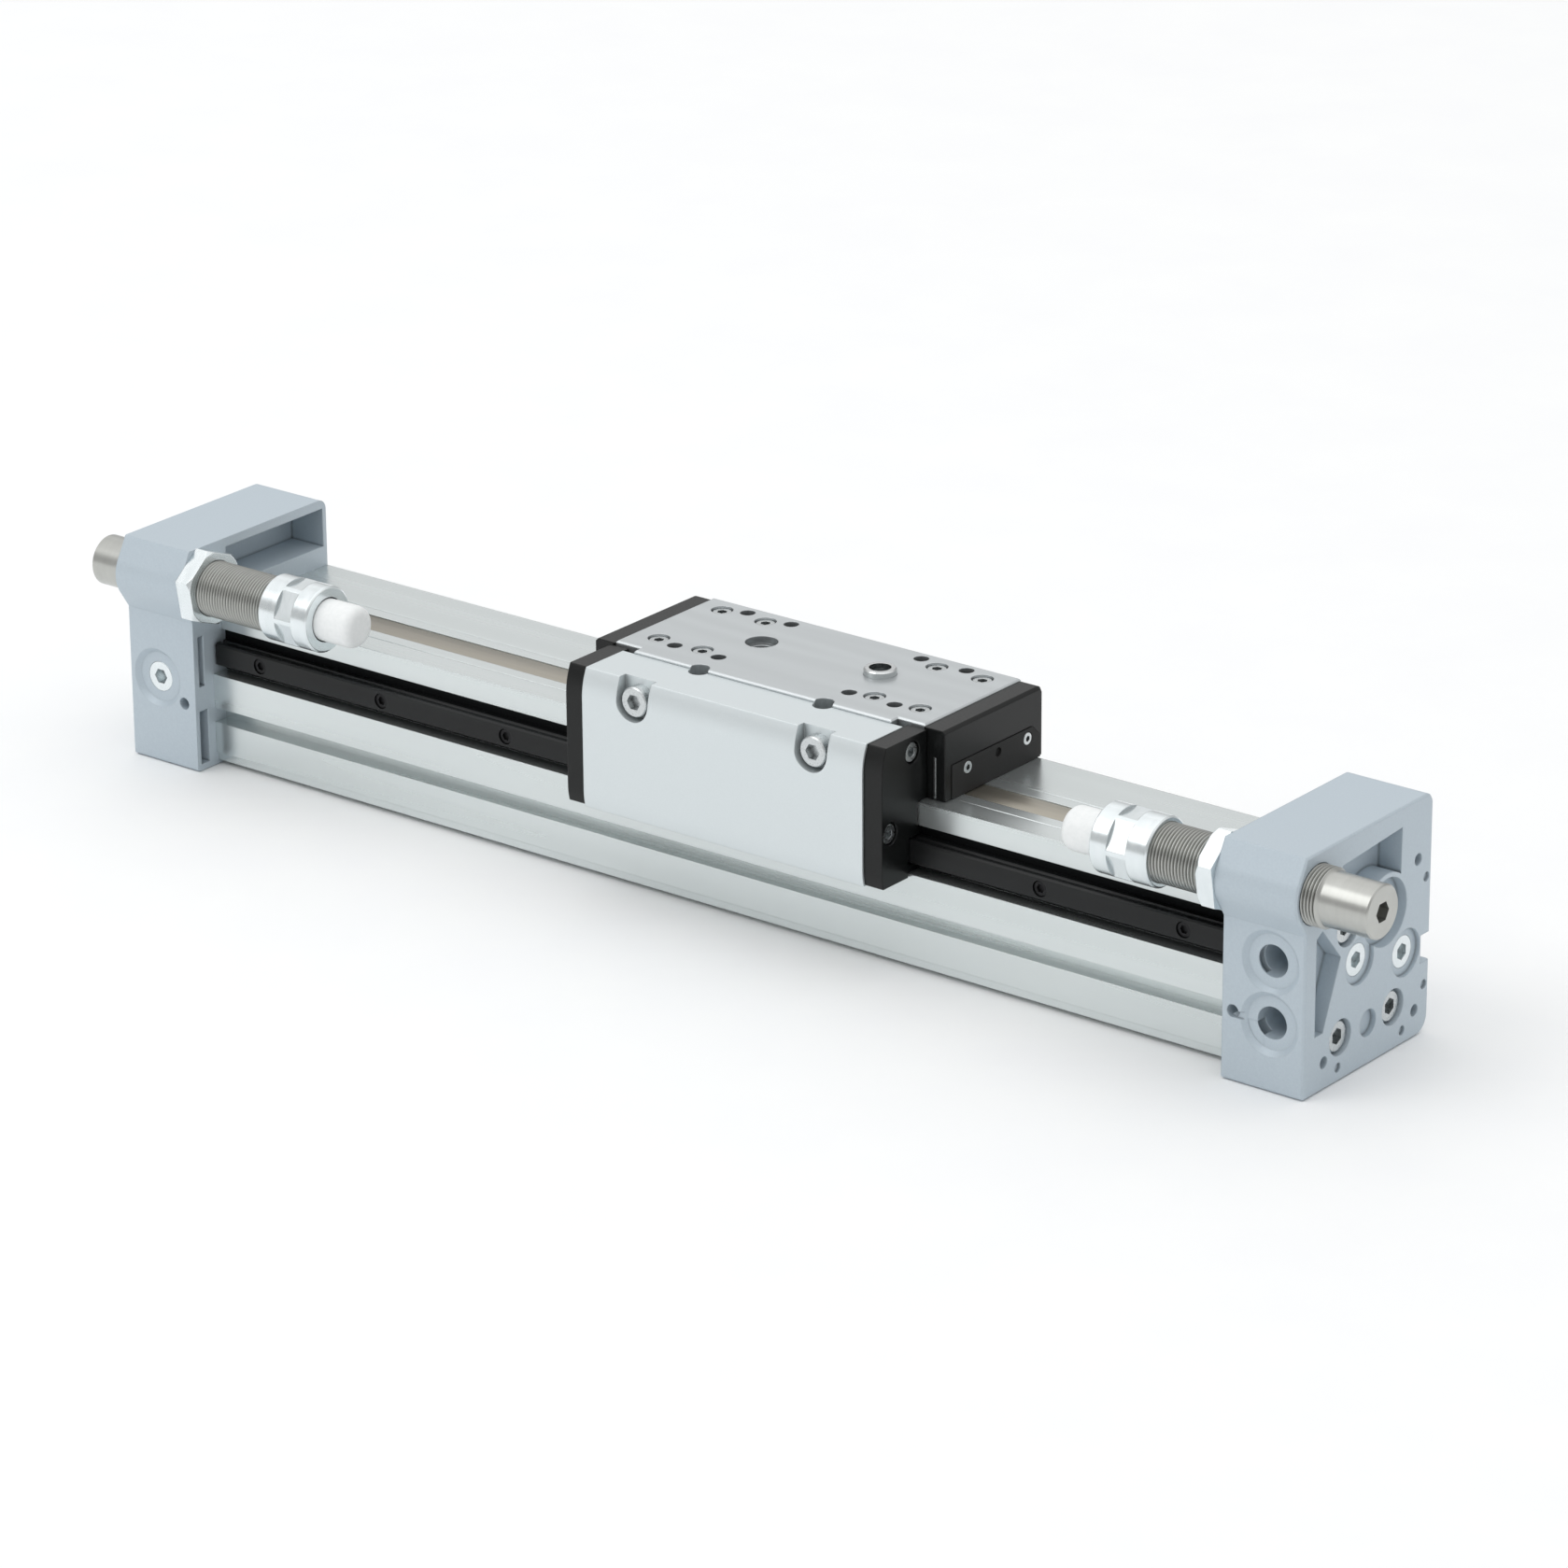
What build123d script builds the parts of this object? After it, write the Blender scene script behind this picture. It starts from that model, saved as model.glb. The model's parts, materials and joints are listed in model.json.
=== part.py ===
from build123d import *
import math
import os

os.makedirs("parts", exist_ok=True)

# Rodless pneumatic cylinder with a guide rail and an adjustable shock absorber in each end cap.
# Millimetres. X runs along the stroke, Y from the front to the back, Z up from the base plane.
# The origin is the centre of the footprint, on the base plane, under the middle of the bore.
# A "reach" is a distance from the middle plane Y = 0, and a "height" is a distance above the base.

# General clearances
screw_clearance = 0.05       # radial play between a screw and its hole
seat_clearance = 0.05        # play of a seal or an insert in its seat
slide_gap = 0.4              # air between the moving slide and the barrel
thread_play = 0.08           # radial play of the absorber in its threaded hole

# Barrel: an extruded profile with the bore, the slot and the recess of the guide rail
barrel_length = 350.4
bore_radius = 12.5
bore_height = 25.5
barrel_bottom = 1.3
barrel_top = 46.0
barrel_rear_reach = 28.3
barrel_front_reach = 20.7
base_step_height = 3.8
base_step_depth = 0.8
strip_reach = 16.5
strip_bottom = 39.6
ledge_height = 27.3
rail_wall_reach = 15.2
slot_width = 5.0
front_groove_bottom = 12.9
front_groove_width = 4.3
front_groove_depth = 4.6
rear_slot_bottom = 19.8
rear_slot_width = 7.8
rear_slot_mouth = 5.2
rear_slot_depth = 5.6
rear_slot_lip = 1.8
top_line_reach = 8.9
top_line_size = 0.5
air_channel_radius = 3.0
air_channel_reach = 17.4
air_channel_height = 25.2

# Steel bands that close the slot, from outside and from inside
cover_band_width = 9.0
cover_band_thickness = 0.3
cover_band_recess = 0.5
inner_band_width = 7.2
inner_band_thickness = 0.4
band_side_play = 0.2
band_cap_entry = 6.0
band_clamp_height = 4.2
band_clamp_play = 0.1
band_clamp_gap = 0.2

# Guide rail and its screws
rail_height = 6.6
rail_depth = 5.4
rail_end_gap = 1.0
rail_screw_pitch = 45.0
rail_screw_end_margin = 10.0
rail_screw_radius = 1.25
rail_screw_head_radius = 2.2
rail_screw_head_height = 1.3
rail_screw_grip = 4.0
ball_radius = 0.75
ball_pitch = 4.6
ball_count = 14
ball_play = 0.08

# End caps
cap_length = 24.8
cap_top_margin = 11.05       # above the absorber's axis
cap_half_depth = 28.5
cap_rear_top_radius = 3.0
cap_rear_bottom_radius = 5.0
cap_front_radius = 1.0
cap_edge_chamfer = 0.5
absorber_reach = 23.85
absorber_rise = 8.95         # above the barrel's top
boss_radius = 9.4
boss_low_drop = 10.15        # below the absorber's axis

# Recesses and marks in a cap's outer face, as (y, z) places and outlines
round_recess_place = (8.0, 39.5)
round_recess_radius = 9.2
round_recess_depth = 3.0
round_recess_wall = 1.3
front_recess_outline = ((-21.1, 44.1), (-12.6, 34.2), (-20.0, 15.9), (-23.7, 15.9), (-23.7, 42.5))
front_recess_depth = 5.0
upper_recess_outline = ((-12.5, 58.9), (14.4, 60.6), (14.2, 44.3), (0.0, 47.0), (-14.0, 50.0))
upper_recess_depth = 7.0
upper_recess_boss_wall = 2.2
low_mark_place = (0.6, 11.6)
low_mark_radius = 3.7
low_mark_depth = 1.6
ejector_mark_places = ((-12.8, 3.9), (16.5, 3.9), (26.2, 13.5), (26.1, 43.3))
ejector_mark_radius = 1.3
ejector_mark_depth = 0.8
foot_thread_places = ((-19.3, 7.6), (22.1, 7.6), (22.1, 49.3))
foot_thread_radius = 1.65
foot_thread_depth = 10.0

# Recesses in a cap's inner face, and the slot along its back
inner_recess_depth = 12.0
pocket_front_reach = 13.7
pocket_rear_wall = 1.5
pocket_top_wall = 2.7
pocket_rise = 5.9            # above the barrel's top
pocket_boss_wall = 2.6
high_side_recess = (-26.6, -24.5, 25.0, 40.0)
low_side_recess = (-27.0, -23.6, 1.9, 17.8)
cap_slot_depth = 4.2

# Screws that hold the caps on the barrel
cap_screw_radius = 2.5
cap_screw_head_radius = 4.25
cap_screw_head_height = 5.0
cap_screw_grip = 12.0
cap_screw_sink = 6.0
lower_screw_reach = 12.0
lower_screw_height = 12.0
upper_screw_reach = 9.6
upper_screw_drop = 5.0
counterbore_radius = 4.95

# Air ports and their plugs
port_radius = 4.4
port_depth = 12.0
port_recess_mouth = 8.7
port_recess_floor = 7.3
port_recess_depth = 1.4
port_from_outer_face = 10.5
upper_port_height = 35.3
lower_port_height = 18.4
left_port_height = 25.3
drilling_radius = 2.0
plug_socket_size = 4.0
front_plug_length = 6.0
end_plug_length = 5.0
end_port_recess_radius = 6.5
end_port_recess_depth = 1.2
end_port_depth = 9.0
bore_end_port = (-3.9, 30.2)
adjusting_hole_radius = 1.75
adjusting_hole_depth = 8.0
right_adjusting_place = (21.6, 19.3)     # from the outer face, and above the base
left_adjusting_place = (20.5, 19.7)      # from the outer face, and above the base
adjusting_notch_depth = 0.8
adjusting_notch_heights = (17.6, 19.6)

# Plugs that close the bore
bore_plug_length = 7.0
bore_plug_spigot_radius = 6.0
bore_plug_spigot_length = 4.0
bore_plug_play = 0.1
bore_seal_width = 2.0
bore_seal_depth = 1.6

# Shock absorbers, measured from their outer end towards the slide
absorber_radius = 8.0
absorber_head_radius = 7.2
absorber_head_length = 14.3
absorber_body_length = 70.0
absorber_socket_size = 5.0
absorber_tube_radius = 5.5
stop_sleeve_overlap = 5.0    # over the end of the absorber's body
stop_sleeve_length = 17.7
stop_sleeve_radius = 9.5
stop_hex_start = 6.2
stop_hex_length = 6.0
stop_hex_size = 17.0
buffer_radius = 6.0
buffer_stroke = 12.0
buffer_play = 0.4
plunger_radius = 2.4
damper_piston_length = 6.0
gland_length = 5.0
return_spring_wire = 0.5
return_spring_turns = 8
lock_nut_size = 20.0
lock_nut_thickness = 5.0
lock_nut_angle = -80.6
left_absorber_overhang = 10.9
right_absorber_overhang = 19.3

# Slide: position at rest and its outer sizes
slide_centre = 17.5
plate_half_length = 52.0
plate_front_reach = 15.45
plate_rear_reach = 29.7
plate_notch_length = 8.8
plate_notch_depth = 3.0
plate_thickness = 10.7
body_height = 9.3
plate_edge_chamfer = 0.5
channel_reach = 11.3
channel_height = 5.9

# Threads, screws and centring holes of the plate
pattern_reach = 10.0         # middle of the pattern, behind the middle plane
thread_radius = 2.1
thread_depth = 9.0
thread_row_spacing = 31.6
inner_thread_pitch = 44.0
outer_thread_pitch = 74.0
plate_screw_row_spacing = 27.3
plate_screw_end_gap = 8.0
plate_screw_pitch = 15.0
small_screw_radius = 1.5
small_head_radius = 2.75
small_head_height = 3.0
small_counterbore_radius = 3.05
small_screw_sink = 3.5
plate_screw_length = 10.0
centring_radius = 4.5
centring_depth = 2.1
centring_pitch = 40.0
centring_core_radius = 3.0
sleeve_stand = 2.0
joint_hole_radius = 2.9
joint_hole_depth = 8.0
joint_hole_pitch = 41.8

# Side plate that carries the guide carriage in front of the rail
side_half_length = 47.0
side_front_reach = 33.0
side_plate_drop = 0.9        # how much lower it stands than the slide's top
side_upper_curve = (2.0, 8.5)   # how far back and down the curve above the flat front runs
side_lower_curve = (0.6, 4.5)   # how far back and up the curve below the flat front runs
side_bottom_drop = 1.3
side_wall = 4.0
side_screw_place = 30.0
side_screw_height = 3.8      # above the underside of the plate
side_screw_sink = 1.0        # of the head's face in its notch
side_screw_radius = 2.5
side_screw_head_radius = 4.25
side_screw_head_height = 3.4
side_screw_grip = 9.0
side_notch_width = 10.7

# Black covers at the slide's ends
front_cover_thickness = 6.0
front_cover_inset = 0.6
front_cover_drop = 0.2
front_cover_rear_reach = 13.1
cover_upper_screw = (-19.15, 60.8)
cover_lower_screw = (-28.8, 41.0)
cover_screw_length = 8.0
rear_cover_thickness = 6.7
rear_cover_front_reach = 12.8
rear_cover_rear_reach = 30.7
rear_cover_drop = 0.6
rear_cover_round = 2.0
wiper_front_reach = 9.8
wiper_rear_reach = 29.1
wiper_top = 55.6
wiper_thickness = 1.5
wiper_stand = 0.2
wiper_gap = 0.15
backing_thickness = 0.6
backing_inset = 3.2
backing_stand = 0.1
backing_top = 58.0
wiper_screw_radius = 1.0
wiper_screw_head_radius = 1.75
wiper_screw_head_height = 1.5
wiper_screw_length = 5.5
wiper_screw_places = ((-2.9, 53.0), (23.5, 52.8))
wiper_hole_place = (10.4, 53.1)

# Guide carriage on the rail
carriage_half_length = 38.0
carriage_cap_length = 8.0
carriage_leg = 2.0
rail_gap = 0.4
carriage_screw_place = 26.0

# Yoke that joins the slide and the piston through the slot
yoke_half_length = 24.0
neck_play = 0.3
yoke_floor = 1.0
tunnel_height = 2.2
tunnel_reach = 5.1
yoke_screw_place = 16.0
yoke_screw_reach = 8.2
yoke_foot_reach = 7.2
yoke_foot_top = 9.8          # above the bore axis
yoke_foot_bottom = 2.5       # above the bore axis
foot_tunnel_bottom = 5.6     # above the bore axis
foot_tunnel_height = 1.9
foot_tunnel_reach = 4.1
band_ramp = 13.0
inner_band_ramp = 18.0
band_guide_inset = 3.0
band_guide_gap = 0.15

# Piston
piston_half_length = 73.0
piston_play = 0.3
piston_head_length = 23.0
piston_spigot_radius = 6.0
piston_spigot_length = 6.0
piston_seal_width = 3.0
piston_seal_depth = 2.2
wear_ring_width = 5.0
wear_ring_depth = 1.0
magnet_width = 3.0
magnet_depth = 2.0
piston_socket_radius = 5.5
piston_socket_depth = 12.0
piston_flat_gap = 0.3
piston_screw_place = 14.0

# Places worked out from the sizes
barrel_half = barrel_length / 2
outer_face = barrel_half + cap_length
absorber_height = barrel_top + absorber_rise
cap_height = absorber_height + cap_top_margin
boss_low_height = absorber_height - boss_low_drop
rail_screw_count = int((barrel_length - 2 * rail_screw_end_margin) // rail_screw_pitch) + 1
outer_plate_screw = plate_half_length - plate_screw_end_gap
inner_plate_screw = outer_plate_screw - plate_screw_pitch
plate_screw_places = (-outer_plate_screw, -inner_plate_screw, inner_plate_screw, outer_plate_screw)
bore_top = bore_height + bore_radius
rail_middle = (ledge_height + strip_bottom) / 2
rail_front_reach = rail_wall_reach + rail_depth
rail_top = rail_middle + rail_height / 2
rail_bottom = rail_middle - rail_height / 2
cover_band_bottom = barrel_top - cover_band_recess
cover_band_top = cover_band_bottom + cover_band_thickness
inner_band_seat = bore_top - 0.2
inner_band_top = inner_band_seat - seat_clearance
inner_band_bottom = inner_band_top - inner_band_thickness
flat_height = inner_band_bottom - piston_flat_gap
body_bottom = barrel_top + slide_gap
body_top = body_bottom + body_height
channel_top = barrel_top + channel_height
plate_top = body_top + plate_thickness
side_top = plate_top - side_plate_drop
side_bottom = ledge_height - side_bottom_drop
side_back_reach = plate_front_reach + 0.1
side_screw_z = body_top + side_screw_height
rear_cover_top = plate_top - rear_cover_drop
cap_screw_places = (
    (-lower_screw_reach, lower_screw_height),
    (lower_screw_reach, lower_screw_height),
    (-upper_screw_reach, barrel_top - upper_screw_drop),
    (upper_screw_reach, barrel_top - upper_screw_drop),
)
channel_port = (air_channel_reach, air_channel_height)


# Shapes that are used again and again

def block(x0, x1, y0, y1, z0, z1):
    return Pos((x0 + x1) / 2, (y0 + y1) / 2, (z0 + z1) / 2) * Box(x1 - x0, y1 - y0, z1 - z0)


def rod_x(radius, x0, x1, y, z):
    return Pos((x0 + x1) / 2, y, z) * Rot(0, 90, 0) * Cylinder(radius, abs(x1 - x0))


def rod_y(radius, y0, y1, x, z):
    return Pos(x, (y0 + y1) / 2, z) * Rot(90, 0, 0) * Cylinder(radius, abs(y1 - y0))


def rod_z(radius, z0, z1, x, y):
    return Pos(x, y, (z0 + z1) / 2) * Cylinder(radius, abs(z1 - z0))


def ring_x(outer, inner, x0, x1, y, z):
    return rod_x(outer, x0, x1, y, z) - rod_x(inner, x0 - 1, x1 + 1, y, z)


def along_x(points, x0, x1):
    """A prism along X whose section is given as (y, z) points."""
    face = Plane.YZ.offset(x0) * make_face(Polyline(*points, close=True))
    return extrude(face, amount=x1 - x0, dir=(1, 0, 0))


def curved_front(points, front, top, bottom, x0, x1):
    """A prism along X: (y, z) points for its back, from its lower to its upper front corner,
    and in front a flat that curves back towards its top and bottom edges."""
    upper_back, upper_drop = side_upper_curve
    lower_back, lower_rise = side_lower_curve
    flat_low = (front, bottom + lower_rise)
    flat_high = (front, top - upper_drop)
    low = (front + lower_back, bottom)
    high = (front + upper_back, top)
    lines = Polyline(low, *points, high)
    lines += TangentArc(flat_high, high, tangent=(0, 1))
    lines += Line(flat_low, flat_high)
    lines += TangentArc(flat_low, low, tangent=(0, -1))
    return extrude(Plane.YZ.offset(x0) * make_face(lines), amount=x1 - x0, dir=(1, 0, 0))


def along_y(points, y0, y1):
    """A prism along Y whose side view is given as (x, z) points."""
    outline = [(x, y0, z) for x, z in points]
    face = make_face(Polyline(*outline, close=True))
    return extrude(face, amount=y1 - y0, dir=(0, 1, 0))


def hexagon_x(size, x0, x1, y, z, angle=0.0):
    """A hexagonal prism along X, where size is the width across its flats."""
    corner = size / math.sqrt(3)
    points = []
    for step in range(6):
        turn = math.radians(angle + 60 * step)
        points.append((y + corner * math.cos(turn), z + corner * math.sin(turn)))
    return along_x(points, x0, x1)


def socket_screw(radius, head_radius, head_height, length, socket):
    """A cap screw that points down, with the underside of its head at the origin."""
    head = Pos(0, 0, head_height / 2) * Cylinder(head_radius, head_height)
    head = chamfer(head.edges().group_by(Axis.Z)[-1], 0.08 * head_radius)
    shank = Pos(0, 0, -length / 2) * Cylinder(radius, length)
    hexagon = extrude(RegularPolygon(socket / math.sqrt(3), 6), amount=head_height)
    return head + shank - Pos(0, 0, 0.4 * head_height) * hexagon


def cone_y(radius_out, radius_in, y_out, y_in, x, z):
    """A tapered recess in a front face, wide at its mouth."""
    cone = Cone(radius_in, radius_out, abs(y_in - y_out))
    return Pos(x, (y_out + y_in) / 2, z) * Rot(90, 0, 0) * cone


def solids_of(pieces):
    found = []
    for piece in pieces:
        found.extend(piece.solids())
    return found


def save(node, *pieces):
    """One node: a single solid, or a group of separate solids."""
    solids = solids_of(pieces)
    shape = solids[0] if len(solids) == 1 else Compound(solids)
    export_step(shape, f"parts/{node}.step")


def both_ends(piece):
    """A piece at the right end and its mirror image at the left end."""
    return [piece, mirror(piece, about=Plane.YZ)]


def about_slide(piece):
    """Moves a piece that is drawn about X = 0 to the slide's place at rest."""
    return Pos(slide_centre, 0, 0) * piece


# Barrel

def barrel():
    front = -barrel_front_reach
    step = front + base_step_depth
    outline = [
        (step, barrel_bottom),
        (step, base_step_height),
        (front, base_step_height),
        (front, ledge_height),
        (-rail_wall_reach, ledge_height),
        (-rail_wall_reach, strip_bottom),
        (-strip_reach, strip_bottom),
        (-strip_reach, barrel_top),
        (barrel_rear_reach, barrel_top),
        (barrel_rear_reach, barrel_bottom),
    ]
    shape = along_x(outline, -barrel_half, barrel_half)
    x0 = -barrel_half - 1
    x1 = barrel_half + 1
    shape -= rod_x(bore_radius, x0, x1, 0, bore_height)
    shape -= rod_x(air_channel_radius, x0, x1, *channel_port)
    shape -= block(x0, x1, -slot_width / 2, slot_width / 2, bore_height, barrel_top + 1)
    band_reach = cover_band_width / 2 + band_side_play
    shape -= block(x0, x1, -band_reach, band_reach, cover_band_bottom, barrel_top + 1)
    seat_reach = inner_band_width / 2 + band_side_play
    shape -= block(x0, x1, -seat_reach, seat_reach, bore_height, inner_band_seat)
    groove_top = front_groove_bottom + front_groove_width
    shape -= block(x0, x1, front - 1, front + front_groove_depth, front_groove_bottom, groove_top)
    rear = barrel_rear_reach
    middle = rear_slot_bottom + rear_slot_width / 2
    shape -= block(x0, x1, rear - rear_slot_depth, rear - rear_slot_lip,
                   rear_slot_bottom, rear_slot_bottom + rear_slot_width)
    shape -= block(x0, x1, rear - rear_slot_depth, rear + 1,
                   middle - rear_slot_mouth / 2, middle + rear_slot_mouth / 2)
    for y in (-top_line_reach, top_line_reach):
        line = [
            (y - top_line_size / 2, barrel_top + 0.1),
            (y + top_line_size / 2, barrel_top + 0.1),
            (y, barrel_top - top_line_size),
        ]
        shape -= along_x(line, x0, x1)
    for y, z in cap_screw_places:
        for side in (-1, 1):
            near = side * (barrel_half - cap_screw_grip - 1)
            shape -= rod_x(cap_screw_radius + screw_clearance, near, side * x1, y, z)
    for x in rail_screw_xs():
        shape -= rod_y(rail_screw_radius + screw_clearance, -rail_wall_reach - 1,
                       -rail_wall_reach + rail_screw_grip + 0.5, x, rail_middle)
    return shape


# Guide rail

def rail_screw_xs():
    first = -rail_screw_pitch * (rail_screw_count - 1) / 2
    return [first + rail_screw_pitch * step for step in range(rail_screw_count)]


def guide_rail():
    half = barrel_half - rail_end_gap
    shape = block(-half, half, -rail_front_reach, -rail_wall_reach, rail_bottom, rail_top)
    front_edges = shape.edges().filter_by(Axis.X).group_by(Axis.Y)[0]
    shape = chamfer(front_edges, 0.5)
    groove = ball_radius + ball_play
    for z in (rail_bottom - rail_gap / 2, rail_top + rail_gap / 2):
        shape -= rod_x(groove, -half - 1, half + 1, -rail_wall_reach - rail_depth / 2, z)
    head_seat = -rail_front_reach + rail_screw_head_height + 0.4
    for x in rail_screw_xs():
        shape -= rod_y(rail_screw_radius + screw_clearance, -rail_front_reach - 1,
                       -rail_wall_reach + 1, x, rail_middle)
        shape -= rod_y(rail_screw_head_radius + screw_clearance, -rail_front_reach - 1,
                       head_seat, x, rail_middle)
    return shape


def rail_screws():
    head_seat = -rail_front_reach + rail_screw_head_height + 0.4
    length = -rail_wall_reach + rail_screw_grip - head_seat
    screw = socket_screw(rail_screw_radius, rail_screw_head_radius, rail_screw_head_height,
                         length, rail_screw_head_radius)
    return [Pos(x, head_seat, rail_middle) * Rot(90, 0, 0) * screw for x in rail_screw_xs()]


# Bands

def humped_band(half_length, width, bottom, thickness, hump, hump_half, ramp):
    """A flat band that is lifted, or lowered, where it passes the yoke."""
    xs = [
        -half_length,
        slide_centre - hump_half - ramp,
        slide_centre - hump_half,
        slide_centre + hump_half,
        slide_centre + hump_half + ramp,
        half_length,
    ]
    zs = [bottom, bottom, bottom + hump, bottom + hump, bottom, bottom]
    lower = list(zip(xs, zs))
    upper = [(x, z + thickness) for x, z in reversed(lower)]
    return along_y(lower + upper, -width / 2, width / 2)


def outer_cover_band():
    hump = yoke_tunnel_bottom() + (tunnel_height - cover_band_thickness) / 2 - cover_band_bottom
    return humped_band(barrel_half + band_cap_entry, cover_band_width, cover_band_bottom,
                       cover_band_thickness, hump, yoke_half_length + 1.5, band_ramp)


def inner_sealing_band():
    tunnel = bore_height + foot_tunnel_bottom
    low = tunnel + (foot_tunnel_height - inner_band_thickness) / 2
    return humped_band(barrel_half + band_cap_entry, inner_band_width, inner_band_bottom,
                       inner_band_thickness, low - inner_band_bottom, yoke_half_length + 1.5,
                       inner_band_ramp)


def band_pocket():
    """The pocket in a cap's inner face that takes the band ends and their clamps."""
    reach = cover_band_width / 2 + band_side_play
    return block(barrel_half - 1, barrel_half + band_cap_entry + 1, -reach, reach,
                 inner_band_bottom - 0.3, cover_band_top + band_clamp_height + band_clamp_play)


def band_clamps():
    reach = cover_band_width / 2
    x0 = barrel_half + band_clamp_gap
    x1 = barrel_half + band_cap_entry
    between = block(x0, x1, -reach, reach, inner_band_top, cover_band_bottom)
    above = block(x0, x1, -reach, reach, cover_band_top, cover_band_top + band_clamp_height)
    return both_ends(between) + both_ends(above)


# End caps

def tangent_point(corner, side):
    """Where the line from a corner touches the absorber's boss, as (y, z)."""
    dy = corner[0] + absorber_reach
    dz = corner[1] - absorber_height
    distance = math.hypot(dy, dz)
    turn = math.atan2(dz, dy) + side * math.acos(boss_radius / distance)
    return (-absorber_reach + boss_radius * math.cos(turn),
            absorber_height + boss_radius * math.sin(turn))


def cap_blank():
    """The cap at the right end before it is drilled, with the absorber's boss in front."""
    box = Pos(0, cap_height / 2) * Rectangle(2 * cap_half_depth, cap_height)
    corners = box.vertices()
    rear = corners.group_by(Axis.X)[-1].sort_by(Axis.Y)
    box = fillet(rear[-1], cap_rear_top_radius)
    rear = box.vertices().group_by(Axis.X)[-1].sort_by(Axis.Y)
    box = fillet(rear[0], cap_rear_bottom_radius)
    front_low = box.vertices().group_by(Axis.X)[0].sort_by(Axis.Y)[0]
    box = fillet(front_low, cap_front_radius)
    top_corner = (-cap_half_depth, cap_height)
    low_corner = (-cap_half_depth, boss_low_height)
    wedge = make_face(Polyline(
        (-absorber_reach + boss_radius, absorber_height), top_corner,
        tangent_point(top_corner, 1), (-absorber_reach, absorber_height),
        tangent_point(low_corner, -1), low_corner, close=True))
    outline = box + wedge + Pos(-absorber_reach, absorber_height) * Circle(boss_radius)
    blank = extrude(Plane.YZ.offset(barrel_half) * outline, amount=cap_length, dir=(1, 0, 0))
    rim = blank.faces().sort_by(Axis.X)[-1].edges()
    return chamfer(rim, cap_edge_chamfer)


def shared_cap_cuts():
    """What is cut out of both caps alike, drawn at the right end."""
    face = outer_face
    inner = barrel_half
    cuts = []
    # hole of the absorber, through the cap
    cuts.append(rod_x(absorber_radius + thread_play, inner - 1, face + 1,
                      -absorber_reach, absorber_height))
    # holes and counterbores of the cap screws
    for y, z in cap_screw_places:
        cuts.append(rod_x(cap_screw_radius + screw_clearance, inner - 1, face + 1, y, z))
        cuts.append(rod_x(counterbore_radius, face - cap_screw_sink, face + 1, y, z))
    # round recess about the upper rear screw
    cuts.append(rod_x(round_recess_radius, face - round_recess_depth, face + 1, *round_recess_place))
    # triangular recess beside the front edge
    cuts.append(along_x(front_recess_outline, face - front_recess_depth, face + 1))
    # upper recess between the absorber, the round recess and the top
    x0 = face - upper_recess_depth
    recess = along_x(upper_recess_outline, x0, face + 1)
    recess -= rod_x(boss_radius + upper_recess_boss_wall, x0 - 1, face + 2,
                    -absorber_reach, absorber_height)
    recess -= rod_x(round_recess_radius + round_recess_wall, x0 - 1, face + 2, *round_recess_place)
    cuts.append(recess)
    # shallow round mark between the lower screws, and the marks of the ejector pins
    cuts.append(rod_x(low_mark_radius, face - low_mark_depth, face + 1, *low_mark_place))
    for y, z in ejector_mark_places:
        cuts.append(rod_x(ejector_mark_radius, face - ejector_mark_depth, face + 1, y, z))
    # threads for a foot or another mounting
    for y, z in foot_thread_places:
        cuts.append(rod_x(foot_thread_radius, face - foot_thread_depth, face + 1, y, z))
    # ports in the outer face, closed by plugs
    for y, z in (bore_end_port, channel_port):
        cuts.append(rod_x(end_port_recess_radius, face - end_port_recess_depth, face + 1, y, z))
        cuts.append(rod_x(port_radius, face - end_port_depth, face + 1, y, z))
    # the rear slot of the barrel runs on through the cap
    cuts.append(block(inner - 1, face + 1, cap_half_depth - cap_slot_depth, cap_half_depth + 1,
                      rear_slot_bottom, rear_slot_bottom + rear_slot_width))
    # recesses in the inner face
    floor = inner + inner_recess_depth
    behind = block(inner - 1, floor, -pocket_front_reach, cap_half_depth - pocket_rear_wall,
                   barrel_top + pocket_rise, cap_height - pocket_top_wall)
    behind -= rod_x(boss_radius + pocket_boss_wall, inner - 2, floor + 1,
                    -absorber_reach, absorber_height)
    cuts.append(behind)
    for recess_sides in (high_side_recess, low_side_recess):
        cuts.append(block(inner - 1, floor, *recess_sides))
    cuts.append(band_pocket())
    # seat of the bore plug and the drilling behind it
    cuts.append(rod_x(bore_plug_spigot_radius + seat_clearance, inner - 1,
                      inner + bore_plug_spigot_length, 0, bore_height))
    return cuts


port_x = outer_face - port_from_outer_face


def front_port(height):
    """A port in the front face: a tapered recess and the threaded hole."""
    front = -cap_half_depth
    floor = front + port_recess_depth
    cuts = cone_y(port_recess_mouth, port_recess_floor, front, floor, port_x, height)
    cuts += rod_y(port_radius, front, floor + port_depth, port_x, height)
    return cuts


def drilling_y(height, reach):
    return rod_y(drilling_radius, -cap_half_depth + port_depth, reach, port_x, height)


def drilling_x(y, z):
    return rod_x(drilling_radius, barrel_half - 1, outer_face - end_port_depth + 1, y, z)


def adjusting_hole(from_face, height):
    return rod_y(adjusting_hole_radius, -cap_half_depth - 1, -cap_half_depth + adjusting_hole_depth,
                 outer_face - from_face, height)


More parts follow.
